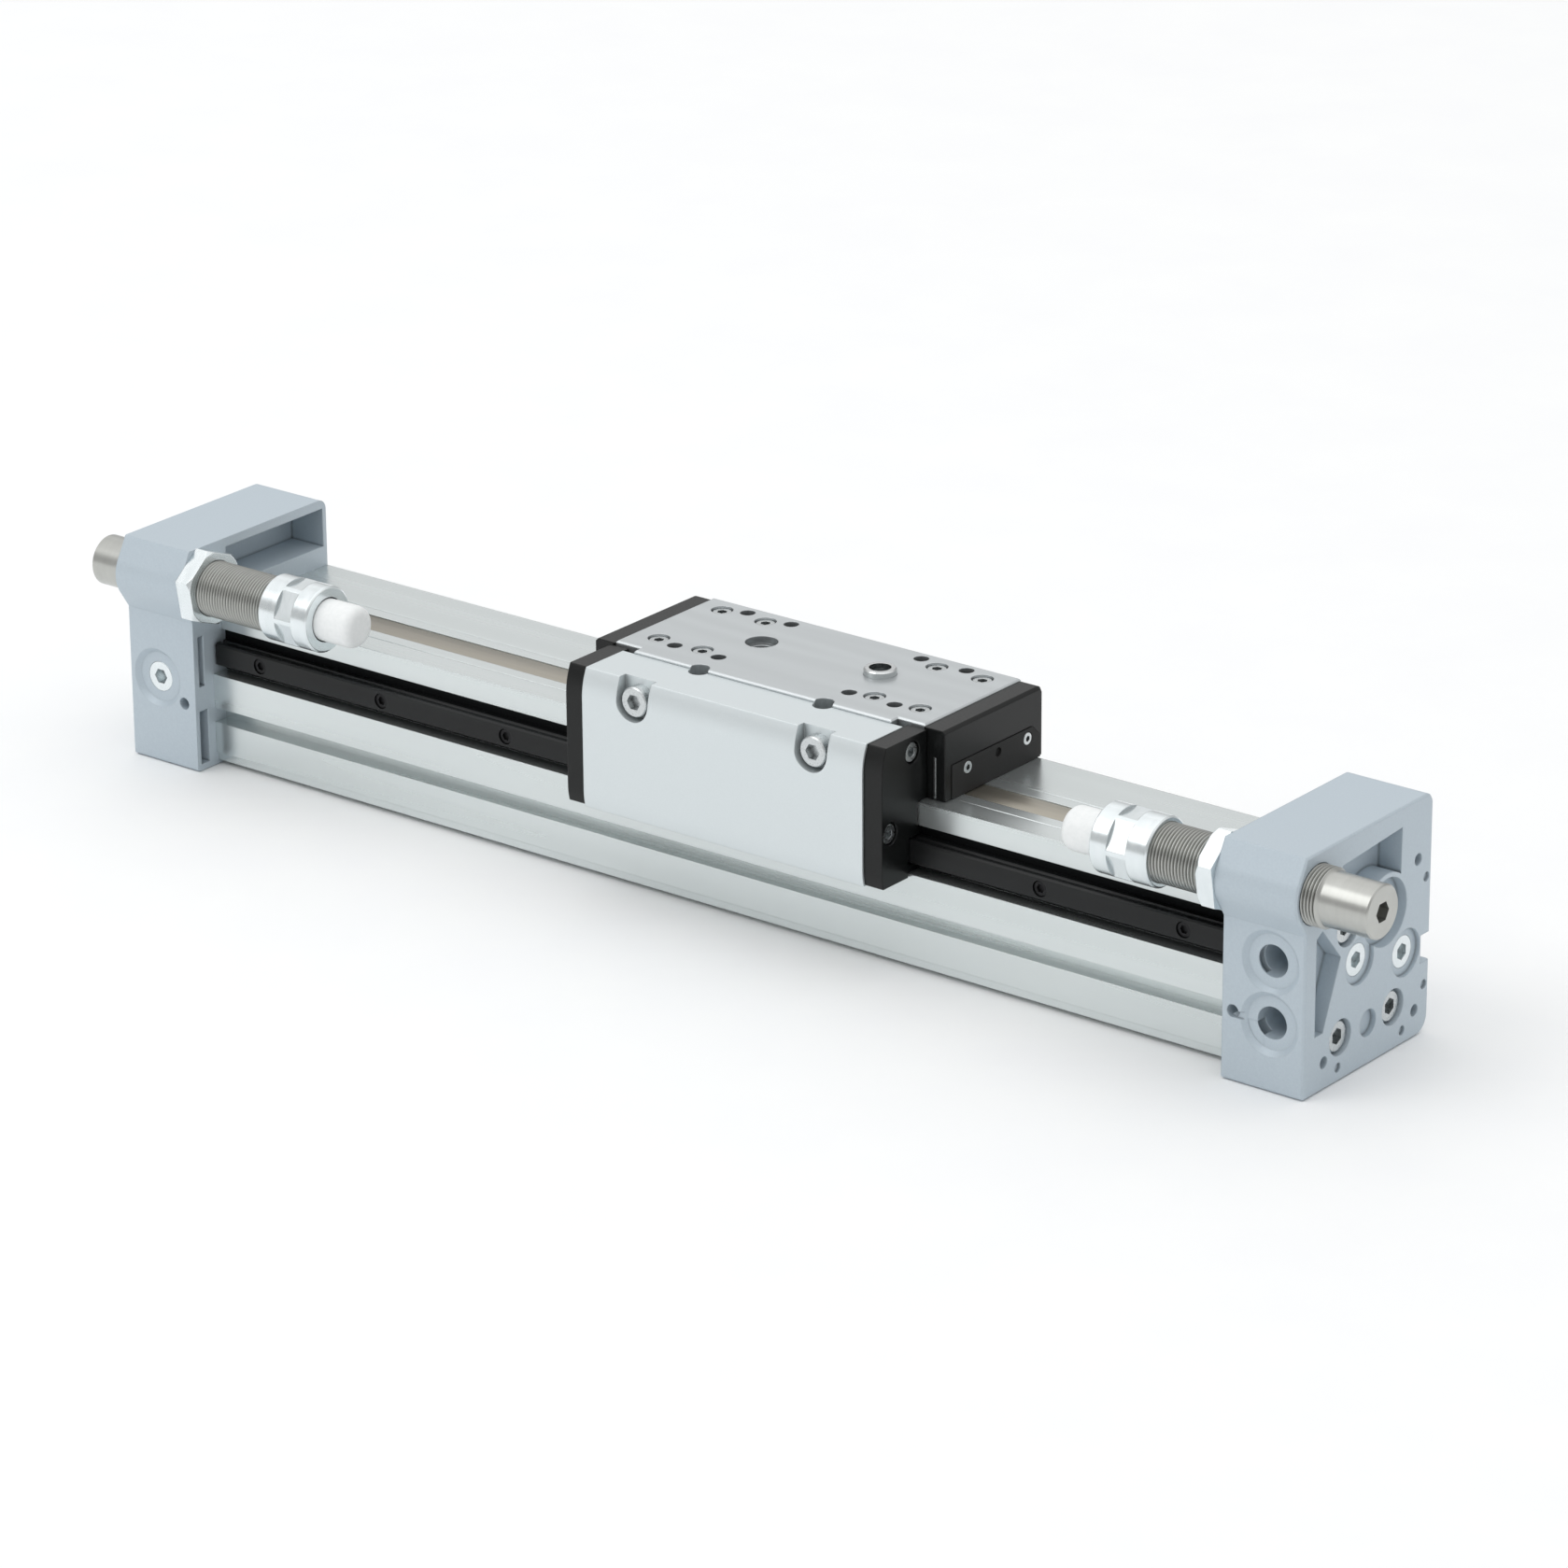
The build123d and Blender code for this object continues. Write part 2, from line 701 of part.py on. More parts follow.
def right_end_cap():
    shape = cap_blank()
    for cut in shared_cap_cuts():
        shape -= cut
    shape -= front_port(upper_port_height)
    shape -= front_port(lower_port_height)
    # air ways: upper port to the bore, lower port to the channel behind it
    shape -= drilling_y(upper_port_height, bore_end_port[0])
    shape -= rod_z(drilling_radius, bore_height, upper_port_height, port_x, bore_end_port[0])
    shape -= drilling_x(0, bore_height)
    shape -= drilling_y(lower_port_height, air_channel_reach)
    shape -= rod_z(drilling_radius, lower_port_height, air_channel_height, port_x, air_channel_reach)
    shape -= drilling_x(*channel_port)
    # small adjusting hole beside the lower port, and the notch that joins them
    shape -= adjusting_hole(*right_adjusting_place)
    shape -= block(outer_face - right_adjusting_place[0], port_x, -cap_half_depth - 1,
                   -cap_half_depth + adjusting_notch_depth, *adjusting_notch_heights)
    return shape


def left_end_cap():
    shape = cap_blank()
    for cut in shared_cap_cuts():
        shape -= cut
    shape -= front_port(left_port_height)
    # one drilling feeds both the bore and the channel behind it
    shape -= drilling_y(left_port_height, air_channel_reach)
    shape -= drilling_x(0, bore_height)
    shape -= drilling_x(*channel_port)
    shape -= adjusting_hole(*left_adjusting_place)
    return mirror(shape, about=Plane.YZ)


def cap_screws():
    screw = socket_screw(cap_screw_radius, cap_screw_head_radius, cap_screw_head_height,
                         cap_length - cap_screw_sink + cap_screw_grip, 4.0)
    seat = outer_face - cap_screw_sink
    screws = []
    for y, z in cap_screw_places:
        screws += both_ends(Pos(seat, y, z) * Rot(0, 90, 0) * screw)
    return screws


def plug(length):
    """A threaded plug that points down, its face at the origin, with a hexagonal socket."""
    body = Pos(0, 0, -length / 2) * Cylinder(port_radius - screw_clearance, length)
    hexagon = extrude(RegularPolygon(plug_socket_size / math.sqrt(3), 6), amount=length)
    return body - Pos(0, 0, -0.6 * length) * hexagon


def front_port_plug():
    face = -cap_half_depth + port_recess_depth
    return Pos(-port_x, face, left_port_height) * Rot(90, 0, 0) * plug(front_plug_length)


def end_face_plugs():
    face = outer_face - end_port_recess_depth
    plugs = []
    for y, z in (bore_end_port, channel_port):
        plugs += both_ends(Pos(face, y, z) * Rot(0, 90, 0) * plug(end_plug_length))
    return plugs


# Plugs and seals of the bore

def band_flat(x0, x1, height):
    """The cut that lets a round piece in the bore pass under the inner band."""
    reach = inner_band_width / 2 + band_side_play + 0.3
    return block(x0, x1, -reach, reach, height, bore_top + 2)


def bore_plug():
    x1 = barrel_half
    x0 = x1 - bore_plug_length
    shape = rod_x(bore_radius - bore_plug_play, x0, x1, 0, bore_height)
    shape += rod_x(bore_plug_spigot_radius, x1, x1 + bore_plug_spigot_length - 0.2, 0, bore_height)
    shape -= rod_x(drilling_radius, x0 - 1, outer_face, 0, bore_height)
    middle = (x0 + x1) / 2
    groove = ring_x(bore_radius + 1, bore_radius - bore_seal_depth,
                    middle - bore_seal_width / 2, middle + bore_seal_width / 2, 0, bore_height)
    shape -= groove
    return shape - band_flat(x0 - 1, x1 + 1, flat_height)


def bore_seal():
    middle = barrel_half - bore_plug_length / 2
    seal = ring_x(bore_radius - seat_clearance, bore_radius - bore_seal_depth + seat_clearance,
                  middle - bore_seal_width / 2 + seat_clearance,
                  middle + bore_seal_width / 2 - seat_clearance, 0, bore_height)
    return seal - band_flat(middle - bore_seal_width, middle + bore_seal_width, flat_height)


# Shock absorbers, drawn with their outer end at X = 0 and pointing along +X

def in_absorber(start, end, radius):
    return rod_x(radius, start, end, 0, 0)


stop_sleeve_start = absorber_body_length - stop_sleeve_overlap
sleeve_end = stop_sleeve_start + stop_sleeve_length
buffer_tip = sleeve_end + buffer_stroke
buffer_back = absorber_body_length + 0.3 + buffer_stroke
head_wall = 16.0
damper_rest_end = absorber_body_length - gland_length - 0.5
damper_rest_start = damper_rest_end - damper_piston_length
return_spring_space = damper_rest_start - head_wall


def absorber_housing():
    shape = in_absorber(0, absorber_head_length, absorber_head_radius)
    shape = chamfer(shape.edges().group_by(Axis.X)[0], 0.6)
    shape += in_absorber(absorber_head_length, absorber_body_length, absorber_radius)
    shape -= in_absorber(head_wall, absorber_body_length + 1, absorber_tube_radius)
    shape -= hexagon_x(absorber_socket_size, -1, 5, 0, 0, 30)
    return shape


def absorber_gland():
    shape = in_absorber(absorber_body_length - gland_length, absorber_body_length - 0.3,
                        absorber_tube_radius - seat_clearance)
    return shape - in_absorber(0, absorber_body_length + 1, plunger_radius + 0.05)


def stop_sleeve():
    shape = in_absorber(stop_sleeve_start, sleeve_end, stop_sleeve_radius)
    shape = chamfer(shape.edges().group_by(Axis.X)[-1] + shape.edges().group_by(Axis.X)[0], 0.5)
    hex_start = stop_sleeve_start + stop_hex_start
    hex_end = hex_start + stop_hex_length
    flats = ring_x(stop_sleeve_radius + 1, stop_sleeve_radius - 3, hex_start, hex_end, 0, 0)
    flats -= hexagon_x(stop_hex_size, hex_start - 1, hex_end + 1, 0, 0, 0)
    shape -= flats
    shape -= in_absorber(0, absorber_body_length + 0.1, absorber_radius + screw_clearance)
    shape -= in_absorber(0, sleeve_end + 1, buffer_radius + buffer_play)
    return shape


def plunger():
    rod = in_absorber(damper_rest_end, buffer_back + 5, plunger_radius)
    piston = in_absorber(damper_rest_start, damper_rest_end, absorber_tube_radius - 0.1)
    return rod + piston


def buffer():
    shape = in_absorber(buffer_back, buffer_tip, buffer_radius)
    shape = fillet(shape.edges().group_by(Axis.X)[-1], 2.6)
    return shape - in_absorber(0, buffer_back + 5, plunger_radius + screw_clearance)


def return_spring():
    radius = absorber_tube_radius - return_spring_wire - 0.4
    start = head_wall + return_spring_wire + 0.05
    length = return_spring_space - 2 * return_spring_wire - 0.1
    pitch = length / return_spring_turns
    path = Helix(pitch, length, radius)
    wire = Plane(origin=path @ 0, z_dir=path % 0) * Circle(return_spring_wire)
    return Pos(start, 0, 0) * Rot(0, 90, 0) * sweep(wire, path=path, is_frenet=True)


def lock_nut():
    face = barrel_half
    x0 = face - lock_nut_thickness
    nut = hexagon_x(lock_nut_size, x0, face, -absorber_reach, absorber_height, lock_nut_angle)
    corner = lock_nut_size / math.sqrt(3)
    # the corners are turned down on the free side
    keep = rod_x(corner + 2, x0 + 2, face + 1, -absorber_reach, absorber_height) + Pos(
        x0 + 1, -absorber_reach, absorber_height) * Rot(0, -90, 0) * Cone(
        corner + 0.9, corner - 1.1, 2)
    nut = nut & keep
    return nut - rod_x(absorber_radius + thread_play, x0 - 1, face + 1,
                       -absorber_reach, absorber_height)


def left_place(piece):
    return Pos(-outer_face - left_absorber_overhang, -absorber_reach, absorber_height) * piece


def right_place(piece):
    turned = mirror(piece, about=Plane.YZ)
    return Pos(outer_face + right_absorber_overhang, -absorber_reach, absorber_height) * turned


# Slide

def slide_outline():
    """The top view that the plate and the body below it share."""
    half = plate_half_length
    outline = Pos(0, (plate_rear_reach - plate_front_reach) / 2) * Rectangle(
        2 * half, plate_rear_reach + plate_front_reach)
    notch = Rectangle(2 * plate_notch_length, 2 * plate_notch_depth)
    for side in (-1, 1):
        outline -= Pos(side * half, -plate_front_reach) * notch
    return outline


def slide_plate():
    blank = extrude(Pos(0, 0, body_top) * slide_outline(), amount=plate_thickness)
    top_edges = blank.faces().sort_by(Axis.Z)[-1].edges()
    shape = chamfer(top_edges, plate_edge_chamfer)
    for x in plate_screw_places:
        for y in plate_screw_rows():
            shape -= rod_z(small_screw_radius + screw_clearance, body_top - 1, plate_top + 1, x, y)
            shape -= rod_z(small_counterbore_radius, plate_top - small_screw_sink, plate_top + 1, x, y)
    for pitch in (inner_thread_pitch, outer_thread_pitch):
        for x in (-pitch / 2, pitch / 2):
            for y in thread_rows():
                shape -= rod_z(thread_radius, plate_top - thread_depth, plate_top + 1, x, y)
    for x in (-centring_pitch / 2, centring_pitch / 2):
        shape -= rod_z(centring_radius, plate_top - centring_depth, plate_top + 1, x, pattern_reach + 0.3)
        shape -= rod_z(centring_core_radius, plate_top - 8.0, plate_top + 1, x, pattern_reach + 0.3)
    for x in (-side_screw_place, side_screw_place):
        shape -= rod_y(side_screw_radius + screw_clearance, -plate_front_reach - 1,
                       -plate_front_reach + side_screw_grip + 0.5, x, side_screw_z)
    return about_slide(shape - joint_holes())


def plate_screw_rows():
    half = plate_screw_row_spacing / 2
    return (pattern_reach - 0.25 - half, pattern_reach - 0.25 + half)


def thread_rows():
    half = thread_row_spacing / 2
    return (pattern_reach - half, pattern_reach + half)


def joint_holes():
    holes = Part()
    for x in (-joint_hole_pitch / 2, joint_hole_pitch / 2):
        holes += rod_z(joint_hole_radius, plate_top - joint_hole_depth, plate_top + 1,
                       x, -plate_front_reach)
    return holes


def slide_body():
    shape = extrude(Pos(0, 0, body_bottom) * slide_outline(), amount=body_height)
    half = plate_half_length
    shape -= block(-half - 1, half + 1, -channel_reach, channel_reach, body_bottom - 1, channel_top)
    for x in plate_screw_places:
        for y in plate_screw_rows():
            low = body_top - (plate_screw_length - plate_thickness + small_screw_sink) - 0.3
            shape -= rod_z(small_screw_radius + screw_clearance, low, body_top + 1, x, y)
    for x in (-yoke_screw_place, yoke_screw_place):
        for y in (-yoke_screw_reach, yoke_screw_reach):
            shape -= rod_z(small_screw_radius + screw_clearance, channel_top - 1, body_top + 1, x, y)
            shape -= rod_z(small_head_radius + 0.15, body_top - small_head_height - 0.2,
                           body_top + 1, x, y)
    for y, z in wiper_screw_places:
        for side in (-1, 1):
            shape -= rod_x(wiper_screw_radius + screw_clearance, side * (half + 1),
                           side * (half - wiper_screw_length), y, z)
    return about_slide(shape)


def plate_screws():
    screw = socket_screw(small_screw_radius, small_head_radius, small_head_height,
                         plate_screw_length, 2.5)
    seat = plate_top - small_screw_sink
    return [about_slide(Pos(x, y, seat) * screw)
            for x in plate_screw_places for y in plate_screw_rows()]


def centring_sleeve():
    low = plate_top - centring_depth
    shape = rod_z(centring_radius - 0.02, low, plate_top + sleeve_stand - 0.2, 0, 0)
    shape = chamfer(shape.edges().group_by(Axis.Z)[-1], 0.4)
    shape -= rod_z(centring_core_radius, low - 1, plate_top + sleeve_stand + 1, 0, 0)
    return about_slide(Pos(centring_pitch / 2, pattern_reach + 0.3, 0) * shape)


# Side plate with the guide carriage

leg_top = rail_top + rail_gap + carriage_leg
leg_bottom = rail_bottom - rail_gap - carriage_leg
carriage_front_reach = side_front_reach - side_wall - seat_clearance
carriage_back_reach = rail_wall_reach + slide_gap
hollow_top = leg_top + 0.3
strip_clear_reach = strip_reach + slide_gap


def side_plate():
    front = -side_front_reach
    back = [
        (front + side_wall, side_bottom),
        (front + side_wall, hollow_top),
        (-strip_clear_reach, hollow_top),
        (-strip_clear_reach, body_bottom),
        (-side_back_reach, body_bottom),
        (-side_back_reach, side_top),
    ]
    half = side_half_length
    shape = curved_front(back, front, side_top, side_bottom, -half, half)
    seat = side_screw_seat()
    for x in (-side_screw_place, side_screw_place):
        shape -= rod_y(side_screw_radius + screw_clearance, front - 1, -side_back_reach + 1,
                       x, side_screw_z)
        shape -= rod_y(side_notch_width / 2, front - 1, seat, x, side_screw_z)
        shape -= block(x - side_notch_width / 2, x + side_notch_width / 2, front - 1, seat,
                       side_screw_z, side_top + 1)
    for x in carriage_screw_xs():
        shape -= rod_y(small_screw_radius + screw_clearance, front + 0.8, front + side_wall + 1,
                       x, rail_middle)
    for y, z in (cover_upper_screw, cover_lower_screw):
        for side in (-1, 1):
            near = side * (half - cover_screw_length)
            shape -= rod_x(small_screw_radius + screw_clearance, near, side * (half + 1), y, z)
    return about_slide(shape - joint_holes())


def side_screw_seat():
    return -side_front_reach + side_screw_head_height + side_screw_sink


def side_plate_screws():
    seat = side_screw_seat()
    length = -plate_front_reach + side_screw_grip - seat
    screw = socket_screw(side_screw_radius, side_screw_head_radius, side_screw_head_height, length, 4.0)
    return [about_slide(Pos(x, seat, side_screw_z) * Rot(90, 0, 0) * screw)
            for x in (-side_screw_place, side_screw_place)]


def carriage_outline(play):
    """The section of the carriage: a back in front of the rail, and a leg above and below it."""
    gap = rail_gap + play
    front = -carriage_front_reach
    back = -carriage_back_reach
    rail_clear = -rail_front_reach - gap
    return [
        (front, leg_bottom),
        (back, leg_bottom),
        (back, rail_bottom - gap),
        (rail_clear, rail_bottom - gap),
        (rail_clear, rail_top + gap),
        (back, rail_top + gap),
        (back, leg_top),
        (front, leg_top),
    ]


def carriage_screw_xs():
    place = carriage_screw_place
    return (-place, -place / 3, place / 3, place)


def ball_heights():
    return (rail_bottom - rail_gap / 2, rail_top + rail_gap / 2)


def guide_carriage():
    half = carriage_half_length
    shape = along_x(carriage_outline(0.0), -half, half)
    for z in ball_heights():
        shape -= rod_x(ball_radius + ball_play, -half - 1, half + 1,
                       -rail_wall_reach - rail_depth / 2, z)
    seat = carriage_screw_seat()
    for x in carriage_screw_xs():
        shape -= rod_y(small_screw_radius + screw_clearance, -carriage_front_reach - 1, seat + 1,
                       x, rail_middle)
        shape -= rod_y(small_head_radius + 0.15, seat, -rail_front_reach, x, rail_middle)
    return about_slide(shape)


def carriage_screw_seat():
    return -rail_front_reach - rail_gap - small_head_height - 0.3


def carriage_screws():
    seat = carriage_screw_seat()
    length = side_front_reach - 1.2 + seat
    screw = socket_screw(small_screw_radius, small_head_radius, small_head_height, length, 2.5)
    return [about_slide(Pos(x, seat, rail_middle) * Rot(-90, 0, 0) * screw)
            for x in carriage_screw_xs()]


def carriage_end_caps():
    x0 = carriage_half_length
    cap = along_x(carriage_outline(0.1), x0, x0 + carriage_cap_length)
    return [about_slide(piece) for piece in both_ends(cap)]


def guide_balls():
    balls = []
    y = -rail_wall_reach - rail_depth / 2
    first = -ball_pitch * (ball_count - 1) / 2
    for z in ball_heights():
        for step in range(ball_count):
            balls.append(about_slide(Pos(first + ball_pitch * step, y, z) * Sphere(ball_radius)))
    return balls


# Covers and wipers at the slide's ends, drawn at its right end

def front_cover():
    front = -side_front_reach + front_cover_inset
    low = side_bottom + 0.3
    back_low = -barrel_front_reach - slide_gap
    gap = rail_gap
    high = side_top - front_cover_drop
    back = [
        (back_low, low),
        (back_low, leg_bottom),
        (-carriage_back_reach, leg_bottom),
        (-carriage_back_reach, rail_bottom - gap),
        (-rail_front_reach - gap, rail_bottom - gap),
        (-rail_front_reach - gap, rail_top + gap),
        (-carriage_back_reach, rail_top + gap),
        (-carriage_back_reach, leg_top),
        (-strip_clear_reach, leg_top),
        (-strip_clear_reach, body_bottom),
        (-front_cover_rear_reach, body_bottom),
        (-front_cover_rear_reach, high),
    ]
    x0 = side_half_length
    x1 = x0 + front_cover_thickness
    shape = curved_front(back, front, high, low, x0, x1)
    for y, z in (cover_upper_screw, cover_lower_screw):
        shape -= rod_x(small_screw_radius + screw_clearance, x0 - 1, x1 + 1, y, z)
        shape -= rod_x(small_counterbore_radius, x1 - small_screw_sink, x1 + 1, y, z)
    return shape


def front_cover_screws():
    seat = side_half_length + front_cover_thickness - small_screw_sink
    length = seat - side_half_length + cover_screw_length - 0.3
    screw = socket_screw(small_screw_radius, small_head_radius, small_head_height, length, 2.5)
    screws = []
    for y, z in (cover_upper_screw, cover_lower_screw):
        for piece in both_ends(Pos(seat, y, z) * Rot(0, 90, 0) * screw):
            screws.append(about_slide(piece))
    return screws


def wiper_blank(play):
    x1 = plate_half_length + rear_cover_thickness
    face = Plane.YZ.offset(x1 - wiper_thickness) * Polyline(
        (-wiper_front_reach - play, barrel_top + wiper_gap),
        (wiper_rear_reach + play, barrel_top + wiper_gap),
        (wiper_rear_reach + play, wiper_top - 3.5),
        (wiper_rear_reach + play - 3.5, wiper_top + play),
        (-wiper_front_reach - play, wiper_top + play),
        close=True)
    return extrude(make_face(face), amount=wiper_thickness + wiper_stand, dir=(1, 0, 0))


def backing_plate():
    x1 = plate_half_length + backing_inset
    return block(x1, x1 + backing_thickness, -rear_cover_front_reach - backing_stand,
                 wiper_rear_reach + 0.4, body_bottom + 0.1, backing_top) - wiper_screw_holes()


def wiper_screw_holes():
    x0 = plate_half_length
    x1 = x0 + rear_cover_thickness
    holes = Part()
    for y, z in wiper_screw_places:
        holes += rod_x(wiper_screw_radius + screw_clearance, x0 - 1, x1 + 1, y, z)
        holes += rod_x(wiper_screw_head_radius + 0.1, x1 + wiper_stand - wiper_screw_head_height,
                       x1 + 1, y, z)
    return holes


def rear_cover():
    x0 = plate_half_length
    x1 = x0 + rear_cover_thickness
    blank = block(x0, x1, -rear_cover_front_reach, rear_cover_rear_reach, body_bottom, rear_cover_top)
    rear_top = blank.edges().filter_by(Axis.X).group_by(Axis.Y)[-1].sort_by(Axis.Z)[-1]
    shape = fillet(rear_top, rear_cover_round)
    outer_edges = shape.faces().sort_by(Axis.X)[-1].edges().group_by(Axis.Z)[-1]
    shape = chamfer(outer_edges, 0.8)
    shape -= wiper_blank(0.1)
    shape -= block(x1 - wiper_thickness, x1 + 1, -wiper_front_reach - 0.1, wiper_rear_reach + 0.1,
                   body_bottom - 1, barrel_top + 1)
    x2 = x0 + backing_inset
    shape -= block(x2, x2 + backing_thickness, -rear_cover_front_reach - 1, wiper_rear_reach + 0.5,
                   body_bottom - 1, backing_top + 0.05)
    shape -= wiper_screw_holes()
    return shape


def wiper():
    y, z = wiper_hole_place
    x1 = plate_half_length + rear_cover_thickness
    return wiper_blank(0.0) - wiper_screw_holes() - rod_x(1.3, x1 - 0.6, x1 + 1, y, z)


def wiper_screws():
    seat = plate_half_length + rear_cover_thickness + wiper_stand - wiper_screw_head_height
    length = seat - plate_half_length + wiper_screw_length - 0.5
    screw = socket_screw(wiper_screw_radius, wiper_screw_head_radius, wiper_screw_head_height,
                         length, 1.5)
    screws = []
    for y, z in wiper_screw_places:
        for piece in both_ends(Pos(seat, y, z) * Rot(0, 90, 0) * screw):
            screws.append(about_slide(piece))
    return screws


# Yoke, band guides and piston, drawn about X = 0

def yoke_tunnel_bottom():
    return body_bottom + yoke_floor


def yoke():
    half = yoke_half_length
    neck = slot_width / 2 - neck_play
    head_reach = channel_reach - 0.2
    foot_top = bore_height + yoke_foot_top
    foot_bottom = bore_height + yoke_foot_bottom
    shape = block(-half, half, -head_reach, head_reach, body_bottom, channel_top)
    shape += block(-half, half, -neck, neck, foot_top - 1, body_bottom + 0.5)
    shape += block(-half, half, -yoke_foot_reach, yoke_foot_reach, foot_bottom, foot_top)
    low = yoke_tunnel_bottom()
    shape -= block(-half - 1, half + 1, -tunnel_reach, tunnel_reach, low, low + tunnel_height)
    low = bore_height + foot_tunnel_bottom
    shape -= block(-half - 1, half + 1, -foot_tunnel_reach, foot_tunnel_reach,
                   low, low + foot_tunnel_height)
    for x in (-yoke_screw_place, yoke_screw_place):
        for y in (-yoke_screw_reach, yoke_screw_reach):
            shape -= rod_z(small_screw_radius + screw_clearance, body_bottom + 0.8,
                           channel_top + 1, x, y)
    for x in (-piston_screw_place, piston_screw_place):
        shape -= rod_z(small_screw_radius + screw_clearance, foot_bottom - 1,
                       foot_bottom + 2.6, x, 0)
    return about_slide(shape)


def yoke_screws():
    seat = body_top - small_head_height - 0.2
    screw = socket_screw(small_screw_radius, small_head_radius, small_head_height,
                         seat - body_bottom - 1.0, 2.5)
    return [about_slide(Pos(x, y, seat) * screw)
            for x in (-yoke_screw_place, yoke_screw_place)
            for y in (-yoke_screw_reach, yoke_screw_reach)]


def band_guides():
    x0 = yoke_half_length + 1.5 + band_ramp + 1.5
    x1 = plate_half_length - band_guide_inset
    reach = cover_band_width / 2 - 0.1
    guide = block(x0, x1, -reach, reach, cover_band_top + band_guide_gap, channel_top)
    return [about_slide(piece) for piece in both_ends(guide)]


piston_radius = bore_radius - piston_play
piston_body_half = piston_half_length - piston_head_length


def piston_body():
    half = piston_body_half
    shape = rod_x(piston_radius, -half, half, 0, bore_height)
    shape += rod_x(piston_spigot_radius, -half - piston_spigot_length + 0.2,
                   half + piston_spigot_length - 0.2, 0, bore_height)
    foot_bottom = bore_height + yoke_foot_bottom
    foot = yoke_half_length + 0.05
    shape -= block(-foot, foot, -yoke_foot_reach - 0.05, yoke_foot_reach + 0.05,
                   foot_bottom, bore_top + 1)
    dip = yoke_half_length + inner_band_ramp + 3
    reach = inner_band_width / 2 + band_side_play + 0.3
    shape -= block(-dip, dip, -reach, reach, bore_height + foot_tunnel_bottom, bore_top + 1)
    shape -= band_flat(-half - 1, half + 1, flat_height)
    low = bore_height - piston_radius
    for x in (-piston_screw_place, piston_screw_place):
        shape -= rod_z(small_screw_radius + screw_clearance, low - 1, foot_bottom + 1, x, 0)
        shape -= rod_z(small_head_radius + 0.15, low - 1, low + small_head_height + 0.8, x, 0)
    return about_slide(shape)


def piston_screws():
    seat = bore_height - piston_radius + small_head_height + 0.8
    length = bore_height + yoke_foot_bottom + 2.4 - seat
    screw = socket_screw(small_screw_radius, small_head_radius, small_head_height, length, 2.5)
    return [about_slide(Pos(x, 0, seat) * Rot(180, 0, 0) * screw)
            for x in (-piston_screw_place, piston_screw_place)]


wear_ring_start = piston_body_half + 1.5
magnet_start = wear_ring_start + wear_ring_width + 1.5
piston_seal_start = magnet_start + magnet_width + 3.0


def piston_groove(start, width, depth):
    return ring_x(bore_radius + 1, piston_radius - depth, start, start + width, 0, bore_height)


def piston_ring(start, width, depth, outer):
    ring = ring_x(outer, piston_radius - depth + seat_clearance, start + seat_clearance,
                  start + width - seat_clearance, 0, bore_height)
    ring -= band_flat(start - 1, start + width + 1, flat_height)
    return [about_slide(piece) for piece in both_ends(ring)]


def piston_heads():
    x0 = piston_body_half
    x1 = piston_half_length
    shape = rod_x(piston_radius, x0, x1, 0, bore_height)
    shape -= rod_x(piston_spigot_radius + seat_clearance, x0 - 1, x0 + piston_spigot_length,
                   0, bore_height)
    shape -= rod_x(piston_socket_radius, x1 - piston_socket_depth, x1 + 1, 0, bore_height)
    shape -= piston_groove(wear_ring_start, wear_ring_width, wear_ring_depth)
    shape -= piston_groove(magnet_start, magnet_width, magnet_depth)
    shape -= piston_groove(piston_seal_start, piston_seal_width, piston_seal_depth)
    shape -= band_flat(x0 - 1, x1 + 1, flat_height)
    return [about_slide(piece) for piece in both_ends(shape)]


# Nodes that stay with the base
save("barrel", barrel())
save("left_end_cap", left_end_cap())
save("right_end_cap", right_end_cap())
save("cap_screws", *cap_screws())
save("front_port_plug", front_port_plug())
save("end_face_plugs", *end_face_plugs())
save("bore_plugs", *both_ends(bore_plug()))
save("bore_seals", *both_ends(bore_seal()))
save("guide_rail", guide_rail())
save("rail_screws", *rail_screws())
save("outer_cover_band", outer_cover_band())
save("inner_sealing_band", inner_sealing_band())
save("band_clamps", *band_clamps())
save("lock_nuts", *both_ends(lock_nut()))

# Nodes of the two shock absorbers
for side, place in (("left", left_place), ("right", right_place)):
    save(f"{side}_absorber_housing", place(absorber_housing()))
    save(f"{side}_absorber_gland", place(absorber_gland()))
    save(f"{side}_stop_sleeve", place(stop_sleeve()))
    save(f"{side}_return_spring", place(return_spring()))
    save(f"{side}_plunger", place(plunger()))
    save(f"{side}_buffer", place(buffer()))

# Nodes of the slide
save("slide_plate", slide_plate())
save("slide_body", slide_body())
save("plate_screws", *plate_screws())
save("centring_sleeve", centring_sleeve())
save("side_plate", side_plate())
save("side_plate_screws", *side_plate_screws())
save("guide_carriage", guide_carriage())
save("carriage_screws", *carriage_screws())
save("carriage_end_caps", *carriage_end_caps())
save("guide_balls", *guide_balls())
save("right_front_cover", about_slide(front_cover()))
save("left_front_cover", about_slide(mirror(front_cover(), about=Plane.YZ)))
save("front_cover_screws", *front_cover_screws())
save("right_rear_cover", about_slide(rear_cover()))
save("left_rear_cover", about_slide(mirror(rear_cover(), about=Plane.YZ)))
save("right_wiper", about_slide(wiper()))
save("left_wiper", about_slide(mirror(wiper(), about=Plane.YZ)))
save("wiper_backing_plates", *[about_slide(piece) for piece in both_ends(backing_plate())])
save("wiper_screws", *wiper_screws())
save("yoke", yoke())
save("yoke_screws", *yoke_screws())
save("band_guides", *band_guides())
save("piston_body", piston_body())
save("piston_screws", *piston_screws())
save("piston_heads", *piston_heads())
